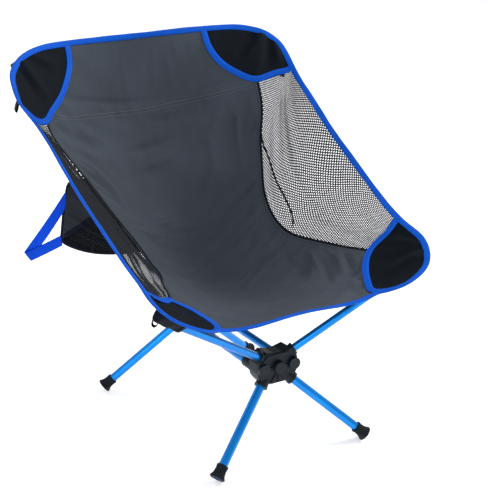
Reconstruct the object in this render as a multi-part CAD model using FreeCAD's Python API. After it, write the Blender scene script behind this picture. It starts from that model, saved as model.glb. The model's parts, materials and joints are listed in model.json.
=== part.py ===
import FreeCAD, Part
import math, os

# Folding camp chair: two hubs joined by link bars hold four legs, two seat arms and two back
# poles; a fabric sling with net sides hangs on the pole tips, a storage pouch behind it.
# Millimetres. +Z is up, the sitter faces -Y, +X is the sitter's left. Z = 0 is the ground.
# The origin is on the ground, below the middle of the chair's outer box.

os.makedirs("parts", exist_ok=True)
V = FreeCAD.Vector

# ---------------------------------------------------------------- driving dimensions
Y_SHIFT = -45.5                 # moves the layout, which has y = 0 midway between the hubs
SIDES = (("right", -1.0), ("left", 1.0))      # as the sitter sees it, with the sign of x
ENDS = {"front": -1.0, "rear": 1.0}           # hubs, with the sign of y

LEG_R, LEG_WALL = 15.5 / 2, 1.0
POLE_R, POLE_WALL = 14.0 / 2, 1.0             # seat arms, back poles and link bars
SOCKET_PLAY = 0.05              # radial clearance of a tube in its hub socket
SOCKET_END_GAP = 0.5            # axial gap between a tube and its socket's floor

HUB_Y = 148.0                   # distance of each hub's root plane from the layout's middle
LEG_ROOT = (18.0, 140.0)        # x, z of a leg axis in the hub's root plane
POLE_ROOT = (25.0, 174.0)       # the same for seat arms and back poles
LINK_X, LINK_Z, LINK_END_Y = 30.2, 154.4, 156.5
LEG_FEET = {"front": (163.3, -216.3), "rear": (175.3, 206.6)}     # x, y on the ground
# x, y, z of the tips: seat arms on the front hub, back poles on the rear hub
POLE_TIPS = {"front": (262.5, -216.6, 328.6), "rear": (263.5, 317.3, 628.0)}
LEG_DEPTH, POLE_DEPTH = 11.0, 14.0            # socket depth behind the root point
LEG_HOLD, POLE_HOLD = 22.0, 15.0              # socket length in front of the root point

CORD_R, CORD_KNOB_R = 1.5, 3.4                # shock cord and the ball at its outer end
FABRIC_T, NET_T = 1.2, 1.0
BINDING_W, BINDING_T = 10.0, 2.8              # folded edge binding of the seat


# ---------------------------------------------------------------- helpers
def place(x, y, z):
    """A layout point in the chair's frame."""
    return V(x, y + Y_SHIFT, z)


def polygon_face(points):
    return Part.Face(Part.makePolygon(points + [points[0]]))


def biggest(shape):
    return max(shape.Solids, key=lambda solid: solid.Volume)


def save(name, shape):
    if len(shape.Solids) == 1 and len(shape.Faces) < 80:
        shape = shape.removeSplitter()
    if len(shape.Solids) == 1:
        shape = shape.Solids[0]
    if shape.Volume < 0:
        shape = shape.reversed()
    assert shape.isValid() and shape.Volume > 1, name
    shape.exportStep("parts/%s.step" % name)


class Axis:
    """A tube's axis from root to tip; distances along it start at the root."""

    def __init__(self, root, tip):
        self.root, self.tip = root, tip
        span = tip - root
        self.length = span.Length
        self.direction = span * (1.0 / span.Length)

    def at(self, distance):
        return self.root + self.direction * distance

    def rod(self, start, end, radius):
        return Part.makeCylinder(radius, end - start, self.at(start), self.direction)

    def tube(self, start, end, radius, wall):
        return self.rod(start, end, radius).cut(self.rod(start - 1, end + 1, radius - wall))

    def revolve(self, origin, profile):
        """Turns a closed profile of (distance from origin, radius) about the axis."""
        reference = V(0, 0, 1) if abs(self.direction.z) < 0.9 else V(1, 0, 0)
        radial = self.direction.cross(reference)
        radial.normalize()
        points = [origin + self.direction * distance + radial * radius
                  for distance, radius in profile]
        return polygon_face(points).revolve(origin, self.direction, 360)

    def cord(self, socket_depth, end):
        """Shock cord from the socket out to a ball centred at end."""
        line = self.rod(-socket_depth + 1, end, CORD_R)
        return line.fuse(Part.makeSphere(CORD_KNOB_R, self.at(end)))


def hub_axis(end, sx, root, tip):
    return Axis(place(sx * root[0], ENDS[end] * HUB_Y, root[1]), place(sx * tip[0], *tip[1:]))


def leg_axis(end, sx):
    return hub_axis(end, sx, LEG_ROOT, LEG_FEET[end] + (0,))


def pole_axis(end, sx):
    """Seat arm at the front, back pole at the rear."""
    return hub_axis(end, sx, POLE_ROOT, POLE_TIPS[end])


# ---------------------------------------------------------------- hubs
# Here "y" is a distance from the layout's middle; it grows towards the hub's outer face.
HUB_INNER_Y, HUB_OUTER_Y = 128.0, 160.0
HUB_EDGE_R = 2.5
HUB_OUTLINE = [                 # x, z
    (-38, 141), (-30, 130), (-12, 127), (12, 127), (30, 130), (38, 141), (41, 152), (40, 168),
    (36, 180), (24, 188), (8, 184), (-8, 184), (-24, 188), (-36, 180), (-40, 168), (-41, 152)]
LEG_COLLAR_R, POLE_COLLAR_R = LEG_R + 3.4, POLE_R + 3.6
LIP_L, LIP_H = 4, 0.8           # raised ring at each collar's mouth
SOCKET_CUT_END = 60             # the socket bores run out well clear of the collars
CUP_R, CUP_Y, CUP_L = 10.2, 104, 26           # link bar cup on the inner side
LINK_BORE_Y, LINK_BORE_L = 90, 67
BOSS_R, BOSS_X, BOSS_Y = 11.0, 30.7, 158      # round bosses on the outer face
SIDE_BOSS_L, MIDDLE_BOSS_L = 8.0, 9.0
SCREW_Z = 158.5                 # also the height of the bosses
SCREW_HOLE_R, HEAD_RECESS_R, NUT_RECESS_R = 2.1, 4.6, 4.4
HEAD_RECESS_Y, NUT_RECESS_Y, NUT_RECESS_L = 163.5, 120, 12
HEAD_Y, HEAD_R, HEAD_L = 163.6, 4.4, 2.6
SHANK_R, SHANK_L = 2.0, 34.6
SLOT_W, SLOT_L, SLOT_OFFSET, SLOT_CUT = 1.0, 6.0, 1.4, 3.0
NUT_Y, NUT_CORNER_R, NUT_L, NUT_HOLE_R = 128.0, 4.2, 3.8, 2.05


def outward(sy, x, y, z, radius, length):
    """A cylinder that runs from y towards the hub's outer side."""
    return Part.makeCylinder(radius, length, place(x, sy * y, z), V(0, sy, 0))


def hub_body(end):
    sy = ENDS[end]
    low_y = min(sy * HUB_OUTER_Y, sy * HUB_INNER_Y)
    outline = [place(x, low_y, z) for x, z in HUB_OUTLINE]
    body = polygon_face(outline).extrude(V(0, HUB_OUTER_Y - HUB_INNER_Y, 0))
    # If the kernel can't round the short facets' edges, the block stays sharp.
    try:
        rim = [e for e in body.Edges if abs(e.BoundBox.YMax - e.BoundBox.YMin) < 0.01]
        body = body.makeFillet(HUB_EDGE_R, rim)
    except Exception:
        pass
    for _, sx in SIDES:
        for axis, hold, radius in ((leg_axis(end, sx), LEG_HOLD, LEG_COLLAR_R),
                                   (pole_axis(end, sx), POLE_HOLD, POLE_COLLAR_R)):
            body = body.fuse(axis.rod(-4, hold, radius))
            body = body.fuse(axis.rod(hold - LIP_L, hold, radius + LIP_H))
        body = body.fuse(outward(sy, sx * LINK_X, CUP_Y, LINK_Z, CUP_R, CUP_L))
        body = body.fuse(outward(sy, sx * BOSS_X, BOSS_Y, SCREW_Z, BOSS_R, SIDE_BOSS_L))
    body = body.fuse(outward(sy, 0, BOSS_Y, SCREW_Z, BOSS_R, MIDDLE_BOSS_L))
    for _, sx in SIDES:
        for axis, depth, radius in ((leg_axis(end, sx), LEG_DEPTH, LEG_R),
                                    (pole_axis(end, sx), POLE_DEPTH, POLE_R)):
            body = body.cut(axis.rod(-depth, SOCKET_CUT_END, radius + SOCKET_PLAY))
        body = body.cut(outward(sy, sx * LINK_X, LINK_BORE_Y, LINK_Z,
                                POLE_R + SOCKET_PLAY, LINK_BORE_L))
    # through hole, head recess on the outer side, nut recess on the inner side
    body = body.cut(outward(sy, 0, NUT_RECESS_Y, SCREW_Z, SCREW_HOLE_R, 60))
    body = body.cut(outward(sy, 0, HEAD_RECESS_Y, SCREW_Z, HEAD_RECESS_R, 20))
    return body.cut(outward(sy, 0, NUT_RECESS_Y, SCREW_Z, NUT_RECESS_R, NUT_RECESS_L))


def hub_shells(end):
    """Outer and inner moulding, split in the plane of the socket roots."""
    sy = ENDS[end]
    size = 400
    split_y = sy * HUB_Y
    corner = place(-size / 2, split_y if sy > 0 else split_y - size, 0)
    outer_half = Part.makeBox(size, size, size, corner)
    body = hub_body(end)
    return biggest(body.common(outer_half)), biggest(body.cut(outer_half))


def hub_screw(sy):
    """Pan head with a cross slot on the outer side, shank through both mouldings."""
    head = outward(sy, 0, HEAD_Y, SCREW_Z, HEAD_R, HEAD_L)
    shank = Part.makeCylinder(SHANK_R, SHANK_L, place(0, sy * HEAD_Y, SCREW_Z), V(0, -sy, 0))
    slot_start = HEAD_Y + SLOT_OFFSET
    slot_y = min(sy * slot_start, sy * (slot_start + SLOT_CUT))
    screw = head.fuse(shank)
    for width, height in ((SLOT_L, SLOT_W), (SLOT_W, SLOT_L)):
        corner = place(-width / 2, slot_y, SCREW_Z - height / 2)
        screw = screw.cut(Part.makeBox(width, SLOT_CUT, height, corner))
    return screw


def hub_nut(sy):
    """Hexagon nut."""
    angles = [math.radians(60 * k) for k in range(6)]
    corners = [place(NUT_CORNER_R * math.cos(angle), sy * NUT_Y,
                     SCREW_Z + NUT_CORNER_R * math.sin(angle)) for angle in angles]
    nut = polygon_face(corners).extrude(V(0, sy * NUT_L, 0))
    return nut.cut(outward(sy, 0, 100, SCREW_Z, NUT_HOLE_R, 60))


for end, sy in ENDS.items():
    outer_shell, inner_shell = hub_shells(end)
    save(end + "_hub_outer_shell", outer_shell)
    save(end + "_hub_inner_shell", inner_shell)
    save(end + "_hub_screw", hub_screw(sy))
    save(end + "_hub_nut", hub_nut(sy))

for side, sx in SIDES:
    link = Axis(place(sx * LINK_X, -LINK_END_Y, LINK_Z), place(sx * LINK_X, LINK_END_Y, LINK_Z))
    save("link_bar_" + side, link.tube(0, link.length, POLE_R, POLE_WALL))

# ---------------------------------------------------------------- legs
FOOT_L, FOOT_TOP_R, FOOT_BELL_R = 39.0, 20.5 / 2, 27.5 / 2
FOOT_PLAY = 0.02
LEG_TUBE_SHORT = 14.0           # the tube ends this far above the ground point
FOOT_GROOVES, GROOVE_START, GROOVE_PITCH = 4, 6.0, 4.2


def leg_foot(axis, tube_end):
    """Bell-shaped foot around the tube's lower end, flat on the ground."""
    length = axis.length
    rim = length - FOOT_L
    top, bell, bore = FOOT_TOP_R, FOOT_BELL_R, LEG_R + FOOT_PLAY
    profile = [(rim, bore), (rim, top - 0.8), (rim + 0.8, top)]
    for k in range(FOOT_GROOVES):
        start = rim + GROOVE_START + GROOVE_PITCH * k
        profile += [(start, top), (start + 0.5, top - 0.9), (start + 1.5, top - 0.9),
                    (start + 2.0, top + 0.15 * k)]
    profile += [
        (rim + 24.5, top + 0.6), (rim + 28.5, top + 1.7), (rim + 32.0, bell - 0.7),
        (rim + 34.5, bell), (length + 3.0, bell), (length + 7.0, bell - 1.6),
        (length + 9.6, bell - 5.0), (length + 10.6, 5.0), (length + 10.6, 0),
        (tube_end + 0.4, 0), (tube_end + 0.4, bore)]
    foot = axis.revolve(axis.root, profile)
    below_ground = Part.makeBox(900, 900, 60, V(-450, -450, -60))
    return biggest(foot.cut(below_ground))


for end in ENDS:
    for side, sx in SIDES:
        axis = leg_axis(end, sx)
        name = "%s_%s" % (end, side)
        tube_end = axis.length - LEG_TUBE_SHORT
        save("leg_tube_" + name,
             axis.tube(-LEG_DEPTH + SOCKET_END_GAP, tube_end, LEG_R, LEG_WALL))
        save("leg_foot_" + name, leg_foot(axis, tube_end))
        save("leg_cord_" + name, axis.cord(LEG_DEPTH, tube_end - 6))

# ---------------------------------------------------------------- seat arms and back poles
POLE_TUBE_SHORT = 3.3           # the tube ends this far before the tip point
ARM_CORD_SHORT, BACK_CORD_SHORT = 22, 24
BACK_SPLIT = 0.52               # place of the back poles' joint, as a share of their length
FERRULE_BELOW, FERRULE_ABOVE = 38, 36
FERRULE_PLAY, FERRULE_WALL = 0.05, 0.9
JOINT_GAP = 0.1
CAP_PLAY = 0.03


def end_cap(axis):
    """Plug in the tube with a rounded head."""
    plug, head = POLE_R - POLE_WALL - CAP_PLAY, POLE_R
    return axis.revolve(axis.tip, [
        (-16, 0), (-16, plug - 0.6), (-15.4, plug), (-3.2, plug), (-3.2, head), (-1.2, head),
        (-0.3, head - 0.9), (0.6, head - 2.6), (1.2, 0)])


for side, sx in SIDES:
    arm = pole_axis("front", sx)
    tube_start, tube_end = -POLE_DEPTH + SOCKET_END_GAP, arm.length - POLE_TUBE_SHORT
    save("seat_arm_" + side, arm.tube(tube_start, tube_end, POLE_R, POLE_WALL))
    save("seat_arm_cap_" + side, end_cap(arm))
    save("seat_arm_cord_" + side, arm.cord(POLE_DEPTH, arm.length - ARM_CORD_SHORT))

    back = pole_axis("rear", sx)
    joint, tube_end = back.length * BACK_SPLIT, back.length - POLE_TUBE_SHORT
    save("back_pole_lower_" + side, back.tube(tube_start, joint, POLE_R, POLE_WALL))
    save("back_pole_ferrule_" + side,
         back.tube(joint - FERRULE_BELOW, joint + FERRULE_ABOVE,
                   POLE_R - POLE_WALL - FERRULE_PLAY, FERRULE_WALL))
    save("back_pole_upper_" + side, back.tube(joint + JOINT_GAP, tube_end, POLE_R, POLE_WALL))
    save("back_pole_cap_" + side, end_cap(back))
    save("back_pole_cord_" + side, back.cord(POLE_DEPTH, back.length - BACK_CORD_SHORT))

# ---------------------------------------------------------------- the sling's surface
# Rows from the front edge to the top edge: the middle (y, z), a point near the net's seam
# (x, y, z) and the side edge (x, y, z). The surface is a spline through them.
ROWS = [
    ((-262, 293), (150, -262, 293), (272, -262, 340)),
    ((-230, 284), (155, -228, 286), (271, -226, 349)),
    ((-175, 268), (170, -165, 302), (267, -185, 362)),
    ((-95, 250), (182, -92, 320), (265, -126, 379)),
    ((-10, 238), (163, -32, 319), (267, -55, 411)),
    ((75, 235), (146, 42, 318), (271, 25, 451)),
    ((140, 252), (148, 98, 342), (273, 95, 489)),
    ((200, 292), (162, 143, 374), (276, 155, 526)),
    ((246, 347), (184, 184, 421), (281, 205, 552)),
    ((287, 412), (202, 214, 465), (286, 240, 571)),
    ((322, 478), (216, 242, 512), (286, 264, 593)),
    ((347, 565), (188, 300, 582), (281, 289, 621)),
    ((350, 647), (158, 342, 648), (272, 306, 648)),
]
SEAM_STATION = 0.55             # the "across" value of the points near the seam
ACROSS_STATIONS = (-1, -SEAM_STATION, 0, SEAM_STATION, 1)

# Curves on the sling are points (across, up): across runs from the middle (0) to the side
# edge (1), up from the front edge (0) to the top edge (1).
MAIN_EDGE = [                   # side edge of the main panel, front to top
    (.564, .0480), (.5555, .0857), (.5888, .1198), (.6533, .1549), (.600, .180),
    (.5629, .2055), (.5444, .2644), (.5528, .3293), (.5535, .3868), (.5516, .4321),
    (.5471, .4834), (.5451, .5423), (.5401, .5929), (.5371, .6459), (.5320, .7041),
    (.5300, .7624), (.5500, .8264), (.6022, .8690), (.5225, .8938), (.4847, .9137),
    (.4621, .9392), (.4626, .9697), (.4907, 1.0)]
NET_FIRST, NET_LAST = 3, 17     # points of MAIN_EDGE between which the net is sewn on
# net edges shared with the pockets
FRONT_BAND = [MAIN_EDGE[NET_FIRST], (.7915, .1635), (.90, .180), (1.0, .1972)]
TOP_BAND = [MAIN_EDGE[NET_LAST], (.7336, .8557), (.88, .815), (1.0, .7608)]
# outer edge of one half, from the middle of the front to the top
FRONT_EDGE = [(0, .0451), (.19, .0445), (.386, .0450), MAIN_EDGE[0]]
FRONT_CORNER = [MAIN_EDGE[0], (.635, .026), (.7087, .0100), (.78, .0085), (.8486, .0125),
                (.905, .0225), (.9456, .0384)]
FRONT_SIDE = [FRONT_CORNER[-1], (.982, .066), (1.0, .103), (1.0, .150), FRONT_BAND[-1]]
TOP_SIDE = [TOP_BAND[-1], (1.0, .81), (1.0, .86), (.988, .905), (.960, .942)]
TOP_CORNER = [TOP_SIDE[-1], (.925, .968), (.865, .986), (.785, .996), (.68, 1.0), (.58, 1.0),
              MAIN_EDGE[-1]]


def natural_spline(xs, ys):
    """The natural cubic spline through the points, as a function of x."""
    count = len(xs)
    gaps = [b - a for a, b in zip(xs, xs[1:])]
    diagonal, upper, right_side = [1.0] * count, [0.0] * count, [0.0] * count
    for i in range(1, count - 1):
        factor = gaps[i - 1] / diagonal[i - 1]
        diagonal[i] = 2 * (gaps[i - 1] + gaps[i]) - factor * upper[i - 1]
        upper[i] = gaps[i]
        slope_change = (ys[i + 1] - ys[i]) / gaps[i] - (ys[i] - ys[i - 1]) / gaps[i - 1]
        right_side[i] = 6 * slope_change - factor * right_side[i - 1]
    bends = [0.0] * count       # second derivatives at the points
    for i in range(count - 2, 0, -1):
        bends[i] = (right_side[i] - upper[i] * bends[i + 1]) / diagonal[i]

    def value(x):
        i = 0
        while i < count - 2 and x > xs[i + 1]:
            i += 1
        gap = gaps[i]
        before, after = (xs[i + 1] - x) / gap, (x - xs[i]) / gap
        cubic = (before ** 3 - before) * bends[i] + (after ** 3 - after) * bends[i + 1]
        return before * ys[i] + after * ys[i + 1] + cubic * gap * gap / 6

    return value


def column_splines():
    """x, y and z as functions of "up" for the middle, the seam points and the side edge."""
    columns = [[(0.0,) + row[0] for row in ROWS], [row[1] for row in ROWS],
               [row[2] for row in ROWS]]
    stations = [0.0]
    for i in range(1, len(ROWS)):
        step = sum(math.dist(column[i], column[i - 1]) for column in columns) / 3
        stations.append(stations[-1] + step)
    stations = [station / stations[-1] for station in stations]
    return [[natural_spline(stations, [point[k] for point in column]) for k in range(3)]
            for column in columns]


COLUMN_SPLINES = column_splines()
row_splines = {}                # splines across the sling, kept for each "up" value


def sling(across, up):
    """A point of the sling; across < 0 is the sitter's right half."""
    key = round(up, 7)
    if key not in row_splines:
        middle, seam, edge = [[spline(up) for spline in column] for column in COLUMN_SPLINES]
        values = [(-edge[0], -seam[0], 0.0, seam[0], edge[0])]
        values += [(edge[k], seam[k], middle[k], seam[k], edge[k]) for k in (1, 2)]
        row_splines[key] = [natural_spline(ACROSS_STATIONS, v) for v in values]
    return place(*[spline(across) for spline in row_splines[key]])


def normal(across, up):
    """The sling's unit normal, towards the sitter."""
    step = 1e-3
    sideways = sling(across + step, up) - sling(across - step, up)
    upwards = sling(across, min(up + step, 1)) - sling(across, max(up - step, 0))
    result = sideways.cross(upwards)
    result.normalize()
    return result


def distances(curve):
    """Distance in space of each curve point from the first."""
    result = [0.0]
    for a, b in zip(curve, curve[1:]):
        result.append(result[-1] + (sling(*b) - sling(*a)).Length)
    return result


def resample(curve, count):
    """count + 1 points along a smooth curve, evenly spaced in space."""
    travelled = distances(curve)
    across, up = [natural_spline(travelled, [point[k] for point in curve]) for k in range(2)]
    points = []
    for i in range(count + 1):
        distance = travelled[-1] * i / count
        points.append((min(across(distance), 1.0), min(max(up(distance), 0.0), 1.0)))
    points[0], points[-1] = curve[0], curve[-1]
    return points


def coons(bottom, top, left, right):
    """Grid between four curves; bottom and top run left to right, the others upwards."""
    rows, columns = len(left) - 1, len(bottom) - 1

    def blend(i, j, k):
        u, v = j / columns, i / rows
        edges = ((1 - v) * bottom[j][k] + v * top[j][k]
                 + (1 - u) * left[i][k] + u * right[i][k])
        corners = ((1 - u) * (1 - v) * bottom[0][k] + u * (1 - v) * bottom[-1][k]
                   + (1 - u) * v * top[0][k] + u * v * top[-1][k])
        return edges - corners

    return [[(blend(i, j, 0), blend(i, j, 1)) for j in range(columns + 1)]
            for i in range(rows + 1)]


def pull(point, target, distance):
    """The point moved towards the target, at most 0.6 of the way."""
    way = target - point
    if way.Length <= 1e-6:
        return point
    return point + way * (min(distance, 0.6 * way.Length) / way.Length)


def skin(upper, lower):
    """A closed solid between two grids: splines along the rows, ruled from row to row."""
    def curves(grid):
        result = []
        for row in grid:
            curve = Part.BSplineCurve()
            curve.interpolate(row)
            result.append(curve.toShape())
        return result

    ruled = Part.makeRuledSurface
    up, low = curves(upper), curves(lower)
    faces = [ruled(up[0], low[0]), ruled(up[-1], low[-1])]
    for i in range(len(up) - 1):
        faces += [ruled(up[i], up[i + 1]), ruled(low[i], low[i + 1])]
        for j in (0, -1):
            faces.append(ruled(Part.makeLine(upper[i][j], lower[i][j]),
                               Part.makeLine(upper[i + 1][j], lower[i + 1][j])))
    shell = Part.makeCompound(faces)
    shell.sewShape(1e-3)
    solid = Part.Solid(shell.Shells[0])
    return solid.reversed() if solid.Volume < 0 else solid


def sheet(grid, thickness, insets, sx=1.0):
    """A solid sheet over a grid; insets pull back its bottom, top, left and right edge."""
    bottom, top, left, right = insets
    points = [[sling(across * sx, up) for across, up in row] for row in grid]
    offsets = [[normal(across * sx, up) * (thickness / 2) for across, up in row]
               for row in grid]
    for j in range(len(points[0])):
        points[0][j] = pull(points[0][j], points[1][j], bottom)
        points[-1][j] = pull(points[-1][j], points[-2][j], top)
    for row in points:
        row[0] = pull(row[0], row[1], left)
        row[-1] = pull(row[-1], row[-2], right)
    upper = [[p + n for p, n in zip(*rows)] for rows in zip(points, offsets)]
    lower = [[p - n for p, n in zip(*rows)] for rows in zip(points, offsets)]
    return skin(upper, lower)


def strip(curve, width, thickness, lift, sx=1.0):
    """A flat tape along a curve, lifted off the sling towards the sitter."""
    wires = []
    for i, (across, up) in enumerate(curve):
        before, after = curve[max(i - 1, 0)], curve[min(i + 1, len(curve) - 1)]
        tangent = sling(after[0] * sx, after[1]) - sling(before[0] * sx, before[1])
        sideways = normal(across * sx, up).cross(tangent)
        sideways.normalize()
        tangent.normalize()
        facing = tangent.cross(sideways)
        centre = sling(across * sx, up) + facing * lift
        corners = [centre + sideways * (a * width / 2) + facing * (b * thickness / 2)
                   for a, b in ((1, 1), (-1, 1), (-1, -1), (1, -1))]
        wires.append(Part.makePolygon(corners + [corners[0]]))
    return Part.makeLoft(wires, True, True)


# ---------------------------------------------------------------- seat panels
GAP = 0.5                       # inset of sewn edges
HEM = BINDING_W / 2 + 0.6       # inset of edges held in the folded binding
NET_STEPS, PANEL_STEPS, SIDE_STEPS = 8, 16, 16
FRONT_UP, TOP_UP = FRONT_BAND[-1][1], TOP_BAND[-1][1]         # ends of the net's side edge
BINDING_END = .0012             # half the gap between the binding's ends, as "across"
TAPE_W, TAPE_T, TAPE_LIFT = 8.0, 0.7, FABRIC_T / 2 + 1.5


def main_panel():
    """One sheet between the two nets, from hem to hem."""
    fractions = [2 * j / PANEL_STEPS - 1 for j in range(PANEL_STEPS + 1)]
    grid = [[(across * f, up) for f in fractions] for across, up in MAIN_EDGE]
    # the front row dips a little towards the middle
    grid[0] = [(MAIN_EDGE[0][0] * f, .0451 + .0029 * f ** 4) for f in fractions]
    return sheet(grid, FABRIC_T, (HEM, HEM, GAP, GAP))


def seat_binding():
    """Folded binding all round, its ends butted in the middle of the front edge."""
    half = (resample(FRONT_EDGE, 5)[:-1] + resample(FRONT_CORNER, 9)[:-1]
            + resample(FRONT_SIDE, 5)[:-1])
    half += [(1.0, FRONT_UP + (TOP_UP - FRONT_UP) * k / SIDE_STEPS) for k in range(SIDE_STEPS)]
    half += resample(TOP_SIDE, 6)[:-1] + resample(TOP_CORNER, 9)[:-1]
    half += [(TOP_CORNER[-1][0] * (1 - k / 6), 1.0) for k in range(7)]
    loop = half + [(-across, up) for across, up in half[::-1][1:]]
    loop[0] = (BINDING_END, loop[0][1])
    loop[-1] = (-BINDING_END, loop[-1][1])
    return strip(loop, BINDING_W, BINDING_T, 0.0)


def net_side_line(seam):
    """The net's outer edge, its points spaced like the seam's."""
    travelled = distances(seam)
    return [(1.0, FRONT_UP + (TOP_UP - FRONT_UP) * d / travelled[-1]) for d in travelled]


seam = MAIN_EDGE[NET_FIRST:NET_LAST + 1]
front_band, top_band = resample(FRONT_BAND, NET_STEPS), resample(TOP_BAND, NET_STEPS)
net_grid = coons(front_band, top_band, seam, net_side_line(seam))
front_pocket_grid = coons(resample(FRONT_CORNER, NET_STEPS), front_band,
                          MAIN_EDGE[:NET_FIRST + 1], resample(FRONT_SIDE, NET_FIRST))
top_pocket_grid = coons(top_band, resample(TOP_CORNER, NET_STEPS)[::-1], MAIN_EDGE[NET_LAST:],
                        resample(TOP_SIDE, len(MAIN_EDGE) - 1 - NET_LAST))
front_tape = resample([(.5600, .0700)] + MAIN_EDGE[1:NET_FIRST + 1] + FRONT_BAND[1:3]
                      + [(.962, .1905)], 16)
top_tape = resample([(.962, .7765)] + TOP_BAND[2:0:-1] + MAIN_EDGE[NET_LAST:-1]
                    + [(.4740, .9830)], 20)

save("seat_main_panel", main_panel())
binding = seat_binding()
save("seat_edge_binding", binding)

tapes = []                      # over the pockets' inner edges
for side, sx in SIDES:
    save("seat_net_" + side, sheet(net_grid, NET_T, (GAP, GAP, GAP, HEM), sx))
    # a corner pocket ends where the folded binding grips it
    for name, grid, insets in (("front", front_pocket_grid, (HEM, GAP, GAP, HEM)),
                               ("top", top_pocket_grid, (GAP, HEM, GAP, HEM))):
        pocket = sheet(grid, FABRIC_T, insets, sx).cut(binding)
        save("%s_pocket_%s" % (name, side), biggest(pocket))
    for curve in (front_tape, top_tape):
        tapes.append(strip(curve, TAPE_W, TAPE_T, TAPE_LIFT, sx))
save("pocket_edge_tapes", Part.makeCompound(tapes))

# ---------------------------------------------------------------- corner sleeves and tabs
SLEEVE_R, SLEEVE_BORE_R, SLEEVE_L = 10.6, 9.7, 58
TAB_T, TAB_W, TAB_H = 1.6, 16, 24
TAB_HOLE_W, TAB_HOLE_H, TAB_HOLE_DROP = 8, 10, 19
TAB_TOPS = ((248, -196, 322), (272, 288, 574))          # middle of each tab's upper edge
TAB_CLEAR_R = 11.2              # the tabs stop short of the sleeves


def sleeve(axis):
    """Thin sleeve around a pole tip, closed beyond it."""
    outer, bore = SLEEVE_R, SLEEVE_BORE_R
    return axis.revolve(axis.tip, [
        (-SLEEVE_L, bore), (-SLEEVE_L, outer), (0, outer), (3.6, outer - 1.5),
        (5.4, outer - 4.6), (6.0, 0), (5.0, 0), (4.4, bore - 4.4), (2.9, bore - 1.5),
        (-0.2, bore)])


def pull_tab(sx, x, y, z):
    """Upright webbing tab with a rectangular hole."""
    top = place(sx * x, y, z)
    tab = Part.makeBox(TAB_T, TAB_W, TAB_H, top - V(TAB_T / 2, TAB_W / 2, TAB_H))
    tab = tab.cut(Part.makeBox(10, TAB_HOLE_W, TAB_HOLE_H,
                               top - V(5, TAB_HOLE_W / 2, TAB_HOLE_DROP)))
    for end in ENDS:
        axis = pole_axis(end, sx)
        tab = tab.cut(axis.revolve(axis.tip, [(-60, 0), (-60, TAB_CLEAR_R),
                                              (8, TAB_CLEAR_R), (8, 0)]))
    return biggest(tab)


for side, sx in SIDES:
    save("front_sleeve_" + side, sleeve(pole_axis("front", sx)))
    save("top_sleeve_" + side, sleeve(pole_axis("rear", sx)))
save("corner_pull_tabs",
     Part.makeCompound([pull_tab(sx, *top) for _, sx in SIDES for top in TAB_TOPS]))

# ---------------------------------------------------------------- pouch behind the backrest
# "across" runs from -1 to 1, "drop" from 0 at the pouch's top to 1 at its bottom edge.
POUCH_TOP, POUCH_LOW, POUCH_Y = 400.0, 232.0, 296.0
POUCH_CORNER_RISE = 50.0        # the bottom edge rises this much towards both ends
HALF_TOP, HALF_LOW = 179.0, 201.0             # half widths: the pouch flares downwards
POUCH_T = 1.0
POUCH_INSET = 7.2               # panels end inside the binding
POUCH_SEAM_GAP = 0.8            # from the seam line to the front panel and to the mesh
BACK_BULGE, FRONT_BULGE, FRONT_OFFSET = 30.0, -3.0, -1.4
PANEL_REACH, MESH_REACH = 0.963, 0.93         # largest "across" of the panels
RIM_W, RIM_T, RIM_OFFSET = 5.0, 3.4, -2.4     # the pouch's binding
RIM_CENTRE_Z = 318
HANDLE_T, HANDLE_OFFSET = 1.8, -1.5
HANDLE_OUTLINE = [              # x, z
    (-188.2, 378.8), (-194.8, 339.8), (-239.5, 285.1), (-201.4, 295.2),
    (-202.9, 283), (-202.9, 274), (-261.8, 258.5), (-273.2, 276.5)]


def pouch_bottom(across):
    return POUCH_LOW + POUCH_CORNER_RISE * abs(across) ** 3


def pouch_seam(across):
    """Height of the seam between the front panel and the mesh."""
    return 289.0 + 58.0 * (1 - abs(across) ** 2.2)


def pouch_point(across, drop, bulge, offset):
    half = HALF_TOP + (HALF_LOW - HALF_TOP) * drop ** 0.7
    swell = bulge * math.sin(math.pi * drop ** 1.3) * (1 - across ** 4) ** 0.5
    return place(across * half, POUCH_Y + offset + swell,
                 POUCH_TOP + (pouch_bottom(across) - POUCH_TOP) * drop)


def pouch_sheet(top, bottom, bulge, offset, reach, columns=14, steps=8):
    """A panel between two heights, each a function of "across"."""
    grid = []
    for i in range(columns + 1):
        across = reach * (2 * i / columns - 1)
        start, end = [(POUCH_TOP - edge(across)) / (POUCH_TOP - pouch_bottom(across))
                      for edge in (top, bottom)]
        grid.append([pouch_point(across, start + (end - start) * j / steps, bulge, offset)
                     for j in range(steps + 1)])
    shift = V(0, POUCH_T / 2, 0)
    return skin([[p + shift for p in row] for row in grid],
                [[p - shift for p in row] for row in grid])


def inner_corner(before, point, after, distance):
    """The rim's point moved inwards, at right angles to both of its sides."""
    normals = []
    for a, b in ((before, point), (point, after)):
        tangent = b - a
        tangent.normalize()
        across = V(tangent.z, 0, -tangent.x)
        if across.dot(V(0, point.y, RIM_CENTRE_Z) - point) < 0:
            across = across * -1
        normals.append(across)
    return point + (normals[0] + normals[1]) * (distance / (1 + normals[0].dot(normals[1])))


def pouch_binding():
    """Flat band all round the pouch."""
    stations = [(-1 + k / 4, 0) for k in range(9)] + [(1, k / 4) for k in range(1, 5)]
    stations += [(1 - k / 8, 1) for k in range(1, 17)] + [(-1, 1 - k / 4) for k in range(1, 4)]
    rim = [pouch_point(across, drop, 0.0, RIM_OFFSET) for across, drop in stations]
    inner = [inner_corner(rim[i - 1], rim[i], rim[(i + 1) % len(rim)], RIM_W)
             for i in range(len(rim))]
    band = polygon_face(rim).cut(polygon_face(inner))
    return biggest(band.extrude(V(0, RIM_T, 0)))


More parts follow.
